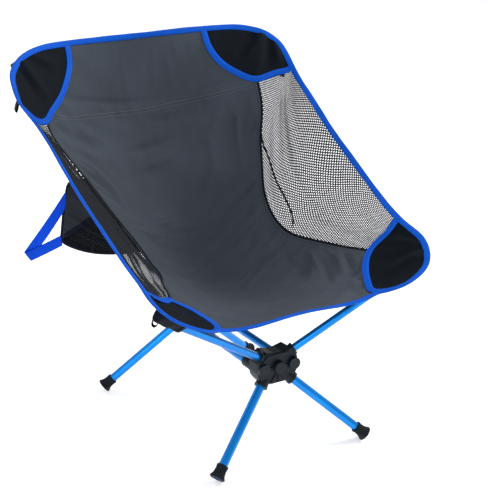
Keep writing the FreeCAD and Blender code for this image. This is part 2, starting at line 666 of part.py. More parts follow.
def pouch_handle():
    """Flat piece of webbing at the pouch's end on the sitter's right."""
    outline = [place(x, POUCH_Y + HANDLE_OFFSET, z) for x, z in HANDLE_OUTLINE]
    return polygon_face(outline).extrude(V(0, HANDLE_T, 0))


def panel_top(across):
    return POUCH_TOP - POUCH_INSET


def panel_bottom(across):
    return pouch_bottom(across) + POUCH_INSET


save("pouch_back_panel", pouch_sheet(panel_top, panel_bottom, BACK_BULGE, 0.0, PANEL_REACH))
save("pouch_front_panel",
     pouch_sheet(panel_top, lambda across: pouch_seam(across) + POUCH_SEAM_GAP,
                 FRONT_BULGE, FRONT_OFFSET, PANEL_REACH))
save("pouch_mesh_panel",
     pouch_sheet(lambda across: pouch_seam(across) - POUCH_SEAM_GAP, panel_bottom,
                 FRONT_BULGE, FRONT_OFFSET, MESH_REACH))
save("pouch_binding", pouch_binding())
save("pouch_handle", pouch_handle())
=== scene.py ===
# Folding camp chair: a cloth sling on four poles, over two hubs and four splayed legs.
# The sitter faces -Y, the sitter's left is at +X and the floor is z = 0. Layouts are in mm and
# meshes in metres. Points measured from between the hubs are moved by SHIFT along Y.
import json
import math

import bpy
import bmesh
import numpy as np
from mathutils import Matrix, Vector


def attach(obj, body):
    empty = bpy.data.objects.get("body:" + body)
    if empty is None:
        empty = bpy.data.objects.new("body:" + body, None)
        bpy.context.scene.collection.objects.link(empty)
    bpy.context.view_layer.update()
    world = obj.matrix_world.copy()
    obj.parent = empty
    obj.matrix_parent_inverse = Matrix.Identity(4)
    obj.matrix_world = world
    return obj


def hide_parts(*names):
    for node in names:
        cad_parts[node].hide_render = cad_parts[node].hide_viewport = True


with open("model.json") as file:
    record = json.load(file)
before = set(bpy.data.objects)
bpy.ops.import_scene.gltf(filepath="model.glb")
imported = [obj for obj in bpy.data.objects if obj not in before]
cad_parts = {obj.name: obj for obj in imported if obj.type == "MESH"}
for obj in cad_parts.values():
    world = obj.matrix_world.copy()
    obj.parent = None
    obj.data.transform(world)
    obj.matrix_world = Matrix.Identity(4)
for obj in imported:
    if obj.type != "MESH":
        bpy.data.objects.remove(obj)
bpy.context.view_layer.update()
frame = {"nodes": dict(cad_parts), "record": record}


SHIFT_Y = -45.5
SHIFT = np.array([0, SHIFT_Y, 0])
SIDES = (("right", -1.0), ("left", 1.0))     # the sitter's sides, with their sign of x

# Pole axes on the +X side, hub end and far end
POLES = {"front": ((25, -148, 174.0), (262.5, -216.6, 328.6)),
         "top": ((25, 148, 174.0), (263.5, 317.3, 628.0))}


# ------------------------------------------------------------------ vectors and lines
def unit(vectors):
    return vectors / np.maximum(np.linalg.norm(vectors, axis=-1, keepdims=True), 1e-9)


def arc_length(points):
    steps = np.linalg.norm(np.diff(points, axis=0), axis=1)
    return np.concatenate([[0], np.cumsum(steps)])


def loop_tangents(points):
    return unit(np.roll(points, -1, 0) - np.roll(points, 1, 0))


def outward_normals(outline):
    """Normals of a closed flat outline that point away from its middle."""
    tangents = loop_tangents(outline)
    normals = np.stack([tangents[:, 1], -tangents[:, 0]], 1)
    if ((outline - outline.mean(0)) * normals).sum() < 0:
        normals = -normals
    return normals


def relax(loop, passes):
    for _ in range(passes):
        loop = (np.roll(loop, 1, 0) + 2 * loop + np.roll(loop, -1, 0)) / 4
    return loop


def moving_mean(values, window, axis=0):
    weights = np.ones(window) / window

    def smooth(column):
        return np.convolve(np.pad(column, window // 2, mode="edge"), weights, mode="valid")
    return np.apply_along_axis(smooth, axis, values)


def smoothstep(values):
    return values * values * (3 - 2 * values)


def near_line(points, line):
    """Distance from points to the nearest point of a line, and that point's index."""
    best = np.full(points.shape[:-1], 1e9)
    index = np.zeros(points.shape[:-1], int)
    for i, target in enumerate(line):
        distance = np.linalg.norm(points - target, axis=-1)
        closer = distance < best
        best[closer], index[closer] = distance[closer], i
    return best, index


def pole(kind, sign):
    """Hub end, far end and direction of a pole."""
    root, tip = [np.array(point) * np.array([sign, 1, 1]) + SHIFT for point in POLES[kind]]
    return root, tip, unit(tip - root)


# ------------------------------------------------------------------ the sling's surface
# Rows from the front edge to the top edge: centre (y, z), middle (x, y, z), side (x, y, z)
ROWS = [
    ((-262, 293), (150, -262, 293), (272, -262, 340)),
    ((-230, 284), (155, -228, 286), (271, -226, 349)),
    ((-175, 268), (170, -165, 302), (267, -185, 362)),
    ((-95, 250), (182, -92, 320), (265, -126, 379)),
    ((-10, 238), (163, -32, 319), (267, -55, 411)),
    ((75, 235), (146, 42, 318), (271, 25, 451)),
    ((140, 252), (148, 98, 342), (273, 95, 489)),
    ((200, 292), (162, 143, 374), (276, 155, 526)),
    ((246, 347), (184, 184, 421), (281, 205, 552)),
    ((287, 412), (202, 214, 465), (286, 240, 571)),
    ((322, 478), (216, 242, 512), (286, 264, 593)),
    ((347, 565), (188, 300, 582), (281, 289, 621)),
    ((350, 647), (158, 342, 648), (272, 306, 648)),
]
MIDDLE_S = 0.55              # s of the middle points; the side points are at s = 1


def spline_bends(knots, values):
    """Second derivatives of the natural cubic spline through values at the knots."""
    count = len(knots)
    matrix = np.eye(count)
    target = np.zeros((count,) + values.shape[1:])
    step = np.diff(knots)
    slope = [(values[i + 1] - values[i]) / step[i] for i in range(count - 1)]
    for i in range(1, count - 1):
        matrix[i, i - 1:i + 2] = step[i - 1], 2 * (step[i - 1] + step[i]), step[i]
        target[i] = 6 * (slope[i] - slope[i - 1])
    return np.linalg.solve(matrix, target)


def spline_at(knots, values, bends, where, pick=lambda table, index: table[index]):
    index = np.clip(np.searchsorted(knots, where, side="left") - 1, 0, len(knots) - 2)
    step = knots[index + 1] - knots[index]
    low = ((knots[index + 1] - where) / step)[..., None]
    high = ((where - knots[index]) / step)[..., None]
    curve = (low ** 3 - low) * pick(bends, index) + (high ** 3 - high) * pick(bends, index + 1)
    return (low * pick(values, index) + high * pick(values, index + 1)
            + curve * ((step * step)[..., None] / 6))


def pick_each(table, index):
    """The entry of table at each point's own index."""
    spread = np.broadcast_to(index[None, ..., None], (1,) + table.shape[1:])
    return np.take_along_axis(table, spread, 0)[0]


COLUMNS = [np.array([(0.0,) + row[0] for row in ROWS]),
           np.array([row[1] for row in ROWS], float),
           np.array([row[2] for row in ROWS], float)]
ROW_T = np.concatenate([[0], np.cumsum(
    sum(np.linalg.norm(np.diff(column, axis=0), axis=1) for column in COLUMNS) / 3)])
ROW_T /= ROW_T[-1]
COLUMN_BENDS = [spline_bends(ROW_T, column) for column in COLUMNS]
ROW_S = np.array([-1, -MIDDLE_S, 0, MIDDLE_S, 1.0])
S_BENDS = spline_bends(ROW_S, np.eye(5))
MIRROR = np.array([-1, 1, 1.0])


def sling(s, t):
    """Points of the sling: s from -1 (right) to 1 (left), t from 0 (front) to 1 (top)."""
    s, t = np.broadcast_arrays(np.asarray(s, float), np.asarray(t, float))
    centre, middle, side = [spline_at(ROW_T, column, bends, np.clip(t, 0, 1))
                            for column, bends in zip(COLUMNS, COLUMN_BENDS)]
    row = np.stack([side * MIRROR, middle * MIRROR, centre, middle, side], 0)
    row_bends = np.tensordot(S_BENDS, row, axes=(1, 0))
    return spline_at(ROW_S, row, row_bends, s, pick_each) + SHIFT


def sling_normals(s, t):
    """Unit normals towards the sitter."""
    step = 2e-3
    t = np.asarray(t, float)
    below, above = np.maximum(t - step, 0), np.minimum(t + step, 1)
    return unit(np.cross(sling(s + step, t) - sling(s - step, t),
                         sling(s, above) - sling(s, below)))


def on_sling(line, sign=1.0):
    """Points and normals of the sling at (s, t) pairs, mirrored by sign."""
    s, t = line[..., 0] * sign, line[..., 1]
    return sling(s, t), sling_normals(s, t)


def respace(line, count):
    """count + 1 (s, t) points along a dense line, evenly spaced on the sling."""
    length = arc_length(sling(*line.T))
    where = np.linspace(0, length[-1], count + 1)
    return np.stack([np.interp(where, length, line[:, 0]),
                     np.interp(where, length, line[:, 1])], 1)


def smooth_line(curve, count):
    curve = np.array(curve, float)
    length = arc_length(sling(*curve.T))
    dense = spline_at(length, curve, spline_bends(length, curve),
                      np.linspace(0, length[-1], 400))
    return respace(np.clip(dense, [-1, 0], [1, 1]), count)


def straight_line(curve, count):
    """The same along straight pieces, which keeps a curve's corners."""
    curve = np.array(curve, float)
    share = np.linspace(0, 1, 60)[:-1, None]
    dense = [start + (end - start) * share for start, end in zip(curve[:-1], curve[1:])]
    return respace(np.concatenate(dense + [curve[-1:]]), count)


def coons(bottom, top, left, right):
    """(s, t) grid: rows run from bottom to top, columns from left to right."""
    v = np.linspace(0, 1, len(left))[:, None, None]
    u = np.linspace(0, 1, len(bottom))[None, :, None]
    corners = ((1 - u) * (1 - v) * bottom[0] + u * (1 - v) * bottom[-1]
               + (1 - u) * v * top[0] + u * v * top[-1])
    return ((1 - v) * bottom[None] + v * top[None] + (1 - u) * left[:, None]
            + u * right[:, None] - corners)


# ------------------------------------------------------------------ meshes
def make_mesh(name, points, faces, uvs=None, attributes=None, smooth=True):
    """An object from points in mm, with per-vertex UVs and values, facing outwards."""
    mesh = bpy.data.meshes.new(name)
    faces = [tuple(int(i) for i in face) for face in faces]
    mesh.from_pydata((np.asarray(points) / 1000.0).tolist(), [], faces)
    mesh.validate()
    if uvs is not None:
        layer = mesh.uv_layers.new(name="UVMap")
        corners = np.zeros(len(mesh.loops), np.int32)
        mesh.loops.foreach_get("vertex_index", corners)
        layer.data.foreach_set("uv", np.asarray(uvs, np.float32)[corners].ravel())
    for key, values in (attributes or {}).items():
        attribute = mesh.attributes.new(key, "FLOAT", "POINT")
        attribute.data.foreach_set("value", np.asarray(values, np.float32))
    mesh.polygons.foreach_set("use_smooth", np.full(len(mesh.polygons), smooth))
    edit = bmesh.new()
    edit.from_mesh(mesh)
    loose = [vertex for vertex in edit.verts if not vertex.link_faces]
    bmesh.ops.delete(edit, geom=loose, context="VERTS")
    bmesh.ops.recalc_face_normals(edit, faces=edit.faces)
    edit.to_mesh(mesh)
    edit.free()
    obj = bpy.data.objects.new(name, mesh)
    bpy.context.scene.collection.objects.link(obj)
    return obj


def lengths(points):
    """(across, along) distances in metres over a grid, for weave coordinates."""
    rows, columns = points.shape[:2]
    across = np.cumsum(np.linalg.norm(np.diff(points, axis=1), axis=2), 1)
    along = np.cumsum(np.linalg.norm(np.diff(points, axis=0), axis=2), 0)
    across = np.concatenate([np.zeros((rows, 1)), across], 1)
    along = np.concatenate([np.zeros((1, columns)), along], 0)
    across = across - across[:, columns // 2][:, None]
    return np.stack([across, along], 2) / 1000.0


def grid_faces(rows, columns, first=0, flip=False):
    i, j = np.meshgrid(np.arange(rows - 1), np.arange(columns - 1), indexing="ij")
    corner = (first + i * columns + j).ravel()
    faces = np.stack([corner, corner + 1, corner + 1 + columns, corner + columns], 1)
    return faces[:, ::-1] if flip else faces


def slab(name, points, normals, thickness, uv=None, attributes=None):
    """A closed sheet around a grid of points, with its rim."""
    rows, columns = points.shape[:2]
    half = normals * (thickness / 2)
    count = rows * columns
    uv = lengths(points) if uv is None else uv
    faces = [grid_faces(rows, columns), grid_faces(rows, columns, count, True)]
    index = np.arange(count).reshape(rows, columns)
    for line, flip in ((index[0], False), (index[-1], True),
                       (index[:, 0], True), (index[:, -1], True)):
        start, end = line[:-1], line[1:]
        quads = np.stack([start, end, end + count, start + count], 1)
        faces.append(quads[:, ::-1] if flip else quads)
    both = {key: np.concatenate([np.asarray(values, float).ravel()] * 2)
            for key, values in (attributes or {}).items()}
    vertices = np.concatenate([(points + half).reshape(-1, 3), (points - half).reshape(-1, 3)])
    return make_mesh(name, vertices, np.concatenate(faces),
                     np.concatenate([uv.reshape(-1, 2)] * 2), both)


def ring_faces(rings, size, closed=False):
    """Faces of a stack of rings: a closed loop, or a tube with both ends capped."""
    faces = []
    for i in range(rings if closed else rings - 1):
        here, there = i * size, (i + 1) % rings * size
        for j in range(size):
            after = (j + 1) % size
            faces.append((here + j, here + after, there + after, there + j))
    if not closed:
        faces.append(tuple(range(size))[::-1])
        faces.append(tuple((rings - 1) * size + j for j in range(size)))
    return faces


def sweep(name, path, side, up, profile, closed=False):
    """A closed profile of (side, up) points, or one profile per point, along a path."""
    count = len(path)
    profile = np.asarray(profile, float)
    size = profile.shape[-2]
    profile = np.broadcast_to(profile, (count, size, 2))
    side = np.broadcast_to(side, path.shape)
    points = path[:, None] + profile[..., :1] * side[:, None] + profile[..., 1:] * up[:, None]
    u, v = np.broadcast_arrays(arc_length(path)[:, None] / 1000,
                               np.linspace(0, 1, size, endpoint=False)[None])
    return make_mesh(name, points.reshape(-1, 3), ring_faces(count, size, closed),
                     np.stack([u, v], 2).reshape(-1, 2))


def strip(name, path, up_hint, profile, shift=0.0, trim=0):
    """A profile swept along a path, which is then shifted and trimmed at both ends."""
    tangent = unit(np.gradient(path, axis=0))
    side = unit(np.cross(up_hint, tangent))
    up = np.cross(tangent, side)
    keep = slice(trim, len(path) - trim)
    return sweep(name, (path + shift)[keep], side[keep], up[keep], profile)


def rounded(width, height, radius):
    """A rounded rectangle profile."""
    x, y = width / 2 - radius, height / 2 - radius
    points = []
    for corner_x, corner_y, start in ((x, y, 0), (-x, y, 90), (-x, -y, 180), (x, -y, 270)):
        for turn in (0, 45, 90):
            angle = math.radians(start + turn)
            points.append((corner_x + radius * math.cos(angle),
                           corner_y + radius * math.sin(angle)))
    return points


# ------------------------------------------------------------------ shader building
def shade(color, factor, plus=0.0):
    return tuple(min(1.0, value * factor + plus) for value in color)


class Shader:
    """A material whose nodes end in one Principled BSDF."""

    def __init__(self, name):
        self.material = bpy.data.materials.new(name)
        self.material.use_nodes = True
        self.tree = self.material.node_tree
        self.tree.nodes.clear()
        output = self.add("OutputMaterial")
        self.bsdf = self.add("BsdfPrincipled")
        self.put(self.bsdf.outputs[0], output.inputs[0])

    def add(self, kind, **settings):
        node = self.tree.nodes.new("ShaderNode" + kind)
        for key, value in settings.items():
            setattr(node, key, value)
        return node

    def put(self, value, socket):
        if hasattr(value, "is_output"):
            self.tree.links.new(value, socket)
        else:
            socket.default_value = value

    def coord(self):
        return self.add("TexCoord").outputs["Object"]

    def uv(self):
        return self.add("UVMap", uv_map="UVMap").outputs[0]

    def attribute(self, name):
        return self.add("Attribute", attribute_name=name).outputs["Fac"]

    def mapping(self, vector, scale=(1, 1, 1)):
        node = self.add("Mapping")
        self.put(vector, node.inputs[0])
        node.inputs["Scale"].default_value = scale
        return node.outputs[0]

    def noise(self, vector, scale, detail, rough, distortion=0.0):
        node = self.add("TexNoise")
        for key, value in (("Vector", vector), ("Scale", scale), ("Detail", detail),
                           ("Roughness", rough), ("Distortion", distortion)):
            self.put(value, node.inputs[key])
        return node.outputs["Fac"]

    def math(self, operation, first, second=0.0, clamp=False):
        node = self.add("Math", operation=operation, use_clamp=clamp)
        for value, socket in zip((first, second, 0.0), node.inputs):
            self.put(value, socket)
        return node.outputs[0]

    def plus(self, first, second):
        return self.math("ADD", first, second)

    def minus(self, first, second):
        return self.math("SUBTRACT", first, second)

    def times(self, first, second, clamp=False):
        return self.math("MULTIPLY", first, second, clamp)

    def excess(self, value, limit):
        """value - limit, held between 0 and 1."""
        return self.math("SUBTRACT", value, limit, True)

    def sine(self, value):
        return self.math("SINE", value)

    def size(self, value):
        return self.math("ABSOLUTE", value)

    def ramp(self, factor, *stops):
        """Colours between two (position, colour) stops."""
        node = self.add("ValToRGB")
        self.put(factor, node.inputs[0])
        for element, (position, color) in zip(node.color_ramp.elements, stops):
            element.position = position
            element.color = tuple(color) + (1,)
        return node.outputs[0]

    def tones(self, factor, base, *stops):
        """The base colour at two (position, brightness) stops."""
        return self.ramp(factor, *[(place, shade(base, light)) for place, light in stops])

    def mix(self, share, first, second):
        node = self.add("Mix", data_type="RGBA", blend_type="MIX")
        self.put(share, node.inputs[0])
        for value, socket in ((first, 6), (second, 7)):
            if not hasattr(value, "is_output"):
                value = tuple(value) + (1,)
            self.put(value, node.inputs[socket])
        return node.outputs[2]

    def split(self, vector):
        node = self.add("SeparateXYZ")
        self.put(vector, node.inputs[0])
        return node.outputs

    def bump(self, height, depth, strength, below=None):
        node = self.add("Bump")
        self.put(height, node.inputs["Height"])
        node.inputs["Distance"].default_value = depth
        node.inputs["Strength"].default_value = strength
        if below is not None:
            self.put(below, node.inputs["Normal"])
        return node.outputs[0]

    def finish(self, color, rough, normal=None, **inputs):
        self.put(color, self.bsdf.inputs["Base Color"])
        self.put(rough, self.bsdf.inputs["Roughness"])
        if normal is not None:
            self.put(normal, self.bsdf.inputs["Normal"])
        for key, value in inputs.items():
            self.put(value, self.bsdf.inputs[key.replace("_", " ")])
        return self.material


def weave_height(mat, uv, pitch):
    """Plain weave: two sets of threads that take turns on top."""
    x, y, _ = mat.split(uv)
    turns = 2 * math.pi / pitch
    across = mat.times(x, turns)
    along = mat.times(y, turns)
    warp = mat.size(mat.sine(mat.times(across, 0.5)))
    weft = mat.size(mat.sine(mat.times(along, 0.5)))
    parity = mat.times(mat.sine(mat.times(across, 0.5)), mat.sine(mat.times(along, 0.5)))
    over = mat.math("GREATER_THAN", parity, 0.0)
    return mat.plus(mat.times(warp, over), mat.times(weft, mat.minus(1.0, over)))


def stitches(mat, offset, along, half_width, period, duty):
    """1 on the dashes of a line: offset is the distance from it, along runs down it."""
    on_line = mat.math("LESS_THAN", mat.size(offset), half_width)
    phase = mat.math("FRACT", mat.math("DIVIDE", along, period))
    return mat.times(on_line, mat.math("LESS_THAN", phase, duty))


# ------------------------------------------------------------------ materials
def cloth_material(name, base, pitch=0.0009, variation=0.22, rough=0.78, sheen=0.03,
                   seams=(), specular=0.2, weave_depth=0.00022, light=None):
    """Woven cloth with light threads, rows of stitches at its seams, and painted shade in the
    gaps between threads and along the stitch rows.
    """
    mat = Shader(name)
    place, uv = mat.coord(), mat.uv()
    patches = mat.noise(place, scale=9.0, detail=3.0, rough=0.55)
    mottle = mat.noise(place, scale=46.0, detail=4.0, rough=0.6)
    fibres_a = mat.noise(mat.mapping(uv, (900, 2600, 1)), scale=1.0, detail=2.0, rough=0.6)
    fibres_b = mat.noise(mat.mapping(uv, (2600, 900, 1)), scale=1.0, detail=2.0, rough=0.6)
    weave = weave_height(mat, uv, pitch)
    color = mat.tones(patches, base, (0.25, 1 - variation), (0.75, 1 + variation))
    color = mat.mix(mat.times(mottle, 0.35), color, shade(base, 0.8))
    thread = mat.plus(mat.times(fibres_a, 0.5), mat.times(fibres_b, 0.5))
    bright = mat.times(mat.excess(thread, 0.42), 1.2, clamp=True)
    color = mat.mix(bright, color, light or shade(base, 1.7))
    # painted shade: darker where the weave is low, in the gaps between the threads
    color = mat.mix(mat.times(mat.excess(0.55, weave), 0.8), color, shade(base, 0.35))
    height = mat.plus(weave, mat.times(thread, 0.6))
    for offset_name, along_name, half_width, period, tint in seams:
        offset = mat.attribute(offset_name)
        along = mat.times(mat.attribute(along_name), 1.0)
        stitch = stitches(mat, offset, along, half_width, period, duty=0.68)
        # painted shade: darker in a crease up to 2.2 mm either side of each stitch row
        crease = mat.excess(1.0, mat.math("DIVIDE", mat.size(offset), 2.2))
        color = mat.mix(mat.times(crease, 0.45), color, shade(base, 0.5))
        color = mat.mix(mat.times(stitch, 0.85), color, tint)
        height = mat.plus(height, mat.times(stitch, 2.0))
    crumple = mat.noise(place, scale=120.0, detail=4.0, rough=0.6)
    normal = mat.bump(crumple, depth=0.0006, strength=0.35)
    normal = mat.bump(height, depth=weave_depth, strength=0.75, below=normal)
    return mat.finish(color, mat.plus(rough - 0.08, mat.times(mottle, 0.16)), normal,
                      Sheen_Weight=sheen, Sheen_Roughness=0.45, Specular_IOR_Level=specular)


def tape_material(name, base, stitch_rows=(), pitch=0.0012, rough=0.6):
    """Ribbed tape with painted shade between its ribs, and rows of stitches at the given places
    round its profile (v).
    """
    mat = Shader(name)
    place, uv = mat.coord(), mat.uv()
    u, v, _ = mat.split(uv)
    rib = mat.size(mat.sine(mat.times(u, math.pi / pitch)))
    fibre = mat.noise(mat.mapping(uv, (1800, 60, 1)), scale=1.0, detail=3.0, rough=0.6)
    patches = mat.noise(place, scale=14.0, detail=3.0, rough=0.5)
    color = mat.tones(patches, base, (0.3, 0.82), (0.7, 1.15))
    # painted shade: darker in the grooves between the ribs
    color = mat.mix(mat.times(mat.excess(0.5, rib), 0.9), color, shade(base, 0.45))
    color = mat.mix(mat.times(fibre, 0.28), color, shade(base, 1.25, plus=0.004))
    height = mat.plus(rib, mat.times(fibre, 0.5))
    for row in stitch_rows:
        stitch = stitches(mat, mat.minus(v, row), mat.times(u, 1000.0),
                          half_width=0.013, period=3.2, duty=0.7)
        color = mat.mix(mat.times(stitch, 0.8), color, shade(base, 0.55))
        height = mat.plus(height, mat.times(stitch, 1.6))
    normal = mat.bump(height, depth=0.00022, strength=0.8)
    return mat.finish(color, mat.plus(rough - 0.06, mat.times(fibre, 0.16)), normal,
                      Sheen_Weight=0.0, Sheen_Roughness=0.4, Specular_IOR_Level=0.12)


def anodised(name, base, edge_shade_colour):
    """Coloured metal with painted shade that darkens it towards its outline, and pale scuffs."""
    mat = Shader(name)
    place = mat.coord()
    patches = mat.noise(place, scale=22.0, detail=3.0, rough=0.5)
    grain = mat.noise(mat.mapping(place), scale=900.0, detail=3.0, rough=0.7)
    scuff = mat.noise(mat.mapping(place), scale=160.0, detail=6.0, rough=0.75, distortion=0.6)
    color = mat.tones(patches, base, (0.3, 0.9), (0.7, 1.08))
    wear = mat.times(mat.excess(scuff, 0.66), 2.2, clamp=True)
    color = mat.mix(wear, color, shade(base, 1.5))
    # painted shade: towards the outline, where the surface turns away from the camera, the
    # colour goes to the given dark edge shade colour
    facing = mat.add("LayerWeight")
    facing.inputs[0].default_value = 0.35
    color = mat.mix(mat.times(facing.outputs["Facing"], 0.55), color, edge_shade_colour)
    normal = mat.bump(grain, depth=0.00004, strength=0.5)
    return mat.finish(color, mat.plus(0.26, mat.times(grain, 0.12)), normal,
                      Metallic=0.78, Coat_Weight=0.2, Coat_Roughness=0.2)


def plastic(name, base, rough):
    """Grained plastic with paler edges and scratches."""
    mat = Shader(name)
    place = mat.coord()
    cells = mat.add("TexVoronoi")
    mat.put(place, cells.inputs["Vector"])
    cells.inputs["Scale"].default_value = 850.0
    patches = mat.noise(place, scale=30.0, detail=4.0, rough=0.6)
    scratch = mat.noise(mat.mapping(place), scale=210.0, detail=6.0, rough=0.8, distortion=1.2)
    shape = mat.add("NewGeometry")
    edge = mat.times(mat.excess(shape.outputs["Pointiness"], 0.515), 9.0, clamp=True)
    color = mat.tones(patches, base, (0.25, 0.8), (0.8, 1.25))
    color = mat.mix(mat.times(edge, 0.45), color, shade(base, 2.2, plus=0.012))
    scratched = mat.times(mat.excess(scratch, 0.68), 1.6, clamp=True)
    color = mat.mix(scratched, color, shade(base, 1.9, plus=0.01))
    height = mat.plus(mat.times(cells.outputs["Distance"], 1.0), mat.times(scratch, 0.4))
    normal = mat.bump(height, depth=0.00012, strength=0.6)
    return mat.finish(color, mat.plus(rough - 0.07, mat.times(patches, 0.16)), normal,
                      Specular_IOR_Level=0.22)


def rubber(name, base):
    """Dull rubber with dust on its lowest 14 mm."""
    mat = Shader(name)
    place = mat.coord()
    patches = mat.noise(place, scale=60.0, detail=4.0, rough=0.6)
    grain = mat.noise(place, scale=1400.0, detail=2.0, rough=0.6)
    dust = mat.excess(1.0, mat.math("DIVIDE", mat.split(place)[2], 0.014))
    dust = mat.times(dust, mat.noise(place, scale=240.0, detail=4.0, rough=0.7), clamp=True)
    color = mat.tones(patches, base, (0.3, 0.85), (0.75, 1.2))
    color = mat.mix(mat.times(dust, 0.7), color, (0.10, 0.095, 0.085))
    height = mat.plus(grain, mat.times(patches, 1.5))
    normal = mat.bump(height, depth=0.00015, strength=0.5)
    return mat.finish(color, mat.plus(0.62, mat.times(patches, 0.2)), normal,
                      Specular_IOR_Level=0.18)


def steel(name, base, rough):
    mat = Shader(name)
    grain = mat.noise(mat.mapping(mat.coord(), (1, 8, 1)), scale=500.0, detail=4.0, rough=0.6)
    color = mat.tones(grain, base, (0.3, 0.8), (0.7, 1.25))
    return mat.finish(color, mat.plus(rough, mat.times(grain, 0.2)),
                      mat.bump(grain, depth=0.00003, strength=0.6), Metallic=0.95)


def braid(name, base, tint):
    """Cord with diagonal strands, one set of them flecked with the tint."""
    mat = Shader(name)
    x, y, z = mat.split(mat.coord())
    waves = 2600.0
    strand_a = mat.sine(mat.times(mat.plus(x, mat.plus(y, z)), waves))
    strand_b = mat.sine(mat.times(mat.minus(mat.plus(x, y), z), waves))
    height = mat.math("MAXIMUM", strand_a, strand_b)
    color = mat.mix(mat.math("GREATER_THAN", strand_a, 0.7), base, tint)
    return mat.finish(color, 0.7, mat.bump(height, depth=0.0002, strength=0.8),
                      Sheen_Weight=0.2)


BLUE = (0.0, 0.095, 0.60)
# Stitch rows of the main panel: distance attribute, along attribute, half width (mm),
# stitch period (mm), thread colour
SEAM_ROWS = [
    ("seam_back_a", "seam_along", 0.42, 3.4, (0.17, 0.19, 0.21)),
    ("seam_back_b", "seam_along", 0.42, 3.4, (0.17, 0.19, 0.21)),
    ("seam_front", "seam_along", 0.42, 3.4, (0.15, 0.17, 0.19)),
    ("seam_side", "along_mm", 0.40, 3.0, (0.03, 0.036, 0.044)),
]
FINE_NET = dict(pitch=0.0006, rough=0.6, sheen=0.0, weave_depth=0.0001)
MATERIALS = {
    "seat_fabric": cloth_material("seat_fabric_main", (0.056, 0.068, 0.086), seams=SEAM_ROWS),
    "pouch_fabric": cloth_material("pouch_fabric", (0.024, 0.029, 0.036)),
    "pouch_back_fabric": cloth_material("pouch_back_fabric", (0.058, 0.068, 0.082)),
    "pocket_fabric": cloth_material(
        "pocket_fabric", (0.0026, 0.0056, 0.0100), variation=0.3, sheen=0.012, rough=0.58,
        specular=0.07, light=(0.007, 0.012, 0.019)),
    "net_fabric": cloth_material("net_fabric", (0.016, 0.019, 0.024), specular=0.12,
                                 **FINE_NET),
    "net_fabric_dark": cloth_material("pouch_net_fabric", (0.004, 0.005, 0.007),
                                      specular=0.08, **FINE_NET),
    "blue_binding": tape_material("blue_binding", BLUE, stitch_rows=(0.07, 0.43)),
    "blue_tape": tape_material("blue_tape", BLUE, stitch_rows=(0.05, 0.35)),
    "blue_webbing": tape_material("blue_webbing", (0.0, 0.068, 0.70), pitch=0.0018, rough=0.5),
    "black_webbing": tape_material("black_webbing", (0.004, 0.006, 0.009), pitch=0.0016),
    "pouch_binding": tape_material("pouch_binding_tape", (0.003, 0.005, 0.016),
                                   stitch_rows=(0.07, 0.43)),
    # the tubes' colour, and the dark colour of the painted shade towards their outline
    "blue_anodised_tube": anodised("blue_anodised_tube", (0.0, 0.25, 0.76),
                                   edge_shade_colour=(0.0, 0.06, 0.30)),
    "ferrule_aluminium": steel("bare_ferrule", (0.72, 0.73, 0.75), rough=0.28),
    "hub_plastic": plastic("hub_plastic", (0.0036, 0.0075, 0.0120), rough=0.40),
    "cap_plastic": plastic("cap_plastic", (0.005, 0.007, 0.010), rough=0.5),
    "foot_rubber": rubber("foot_rubber", (0.0055, 0.0085, 0.0125)),
    "fastener_steel": steel("black_screw", (0.05, 0.055, 0.06), rough=0.4),
    "shock_cord": braid("shock_cord", (0.02, 0.022, 0.026), tint=(0.35, 0.36, 0.38)),
}


def piece(obj, body, material, slot, *nodes):
    obj.data.materials.append(MATERIALS[material])
    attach(obj, body)
    if nodes:
        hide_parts(*nodes)
    return obj


def paint_cad_nodes():
    slots = {part["node"]: part["material_slot"] for part in frame["record"]["subparts"]}
    for name, obj in frame["nodes"].items():
        key = slots.get(name, "seat_fabric")
        material = MATERIALS.get(key, MATERIALS["seat_fabric"])
        if not obj.data.materials:
            obj.data.materials.append(material)
        for slot in obj.material_slots:
            slot.material = material


paint_cad_nodes()

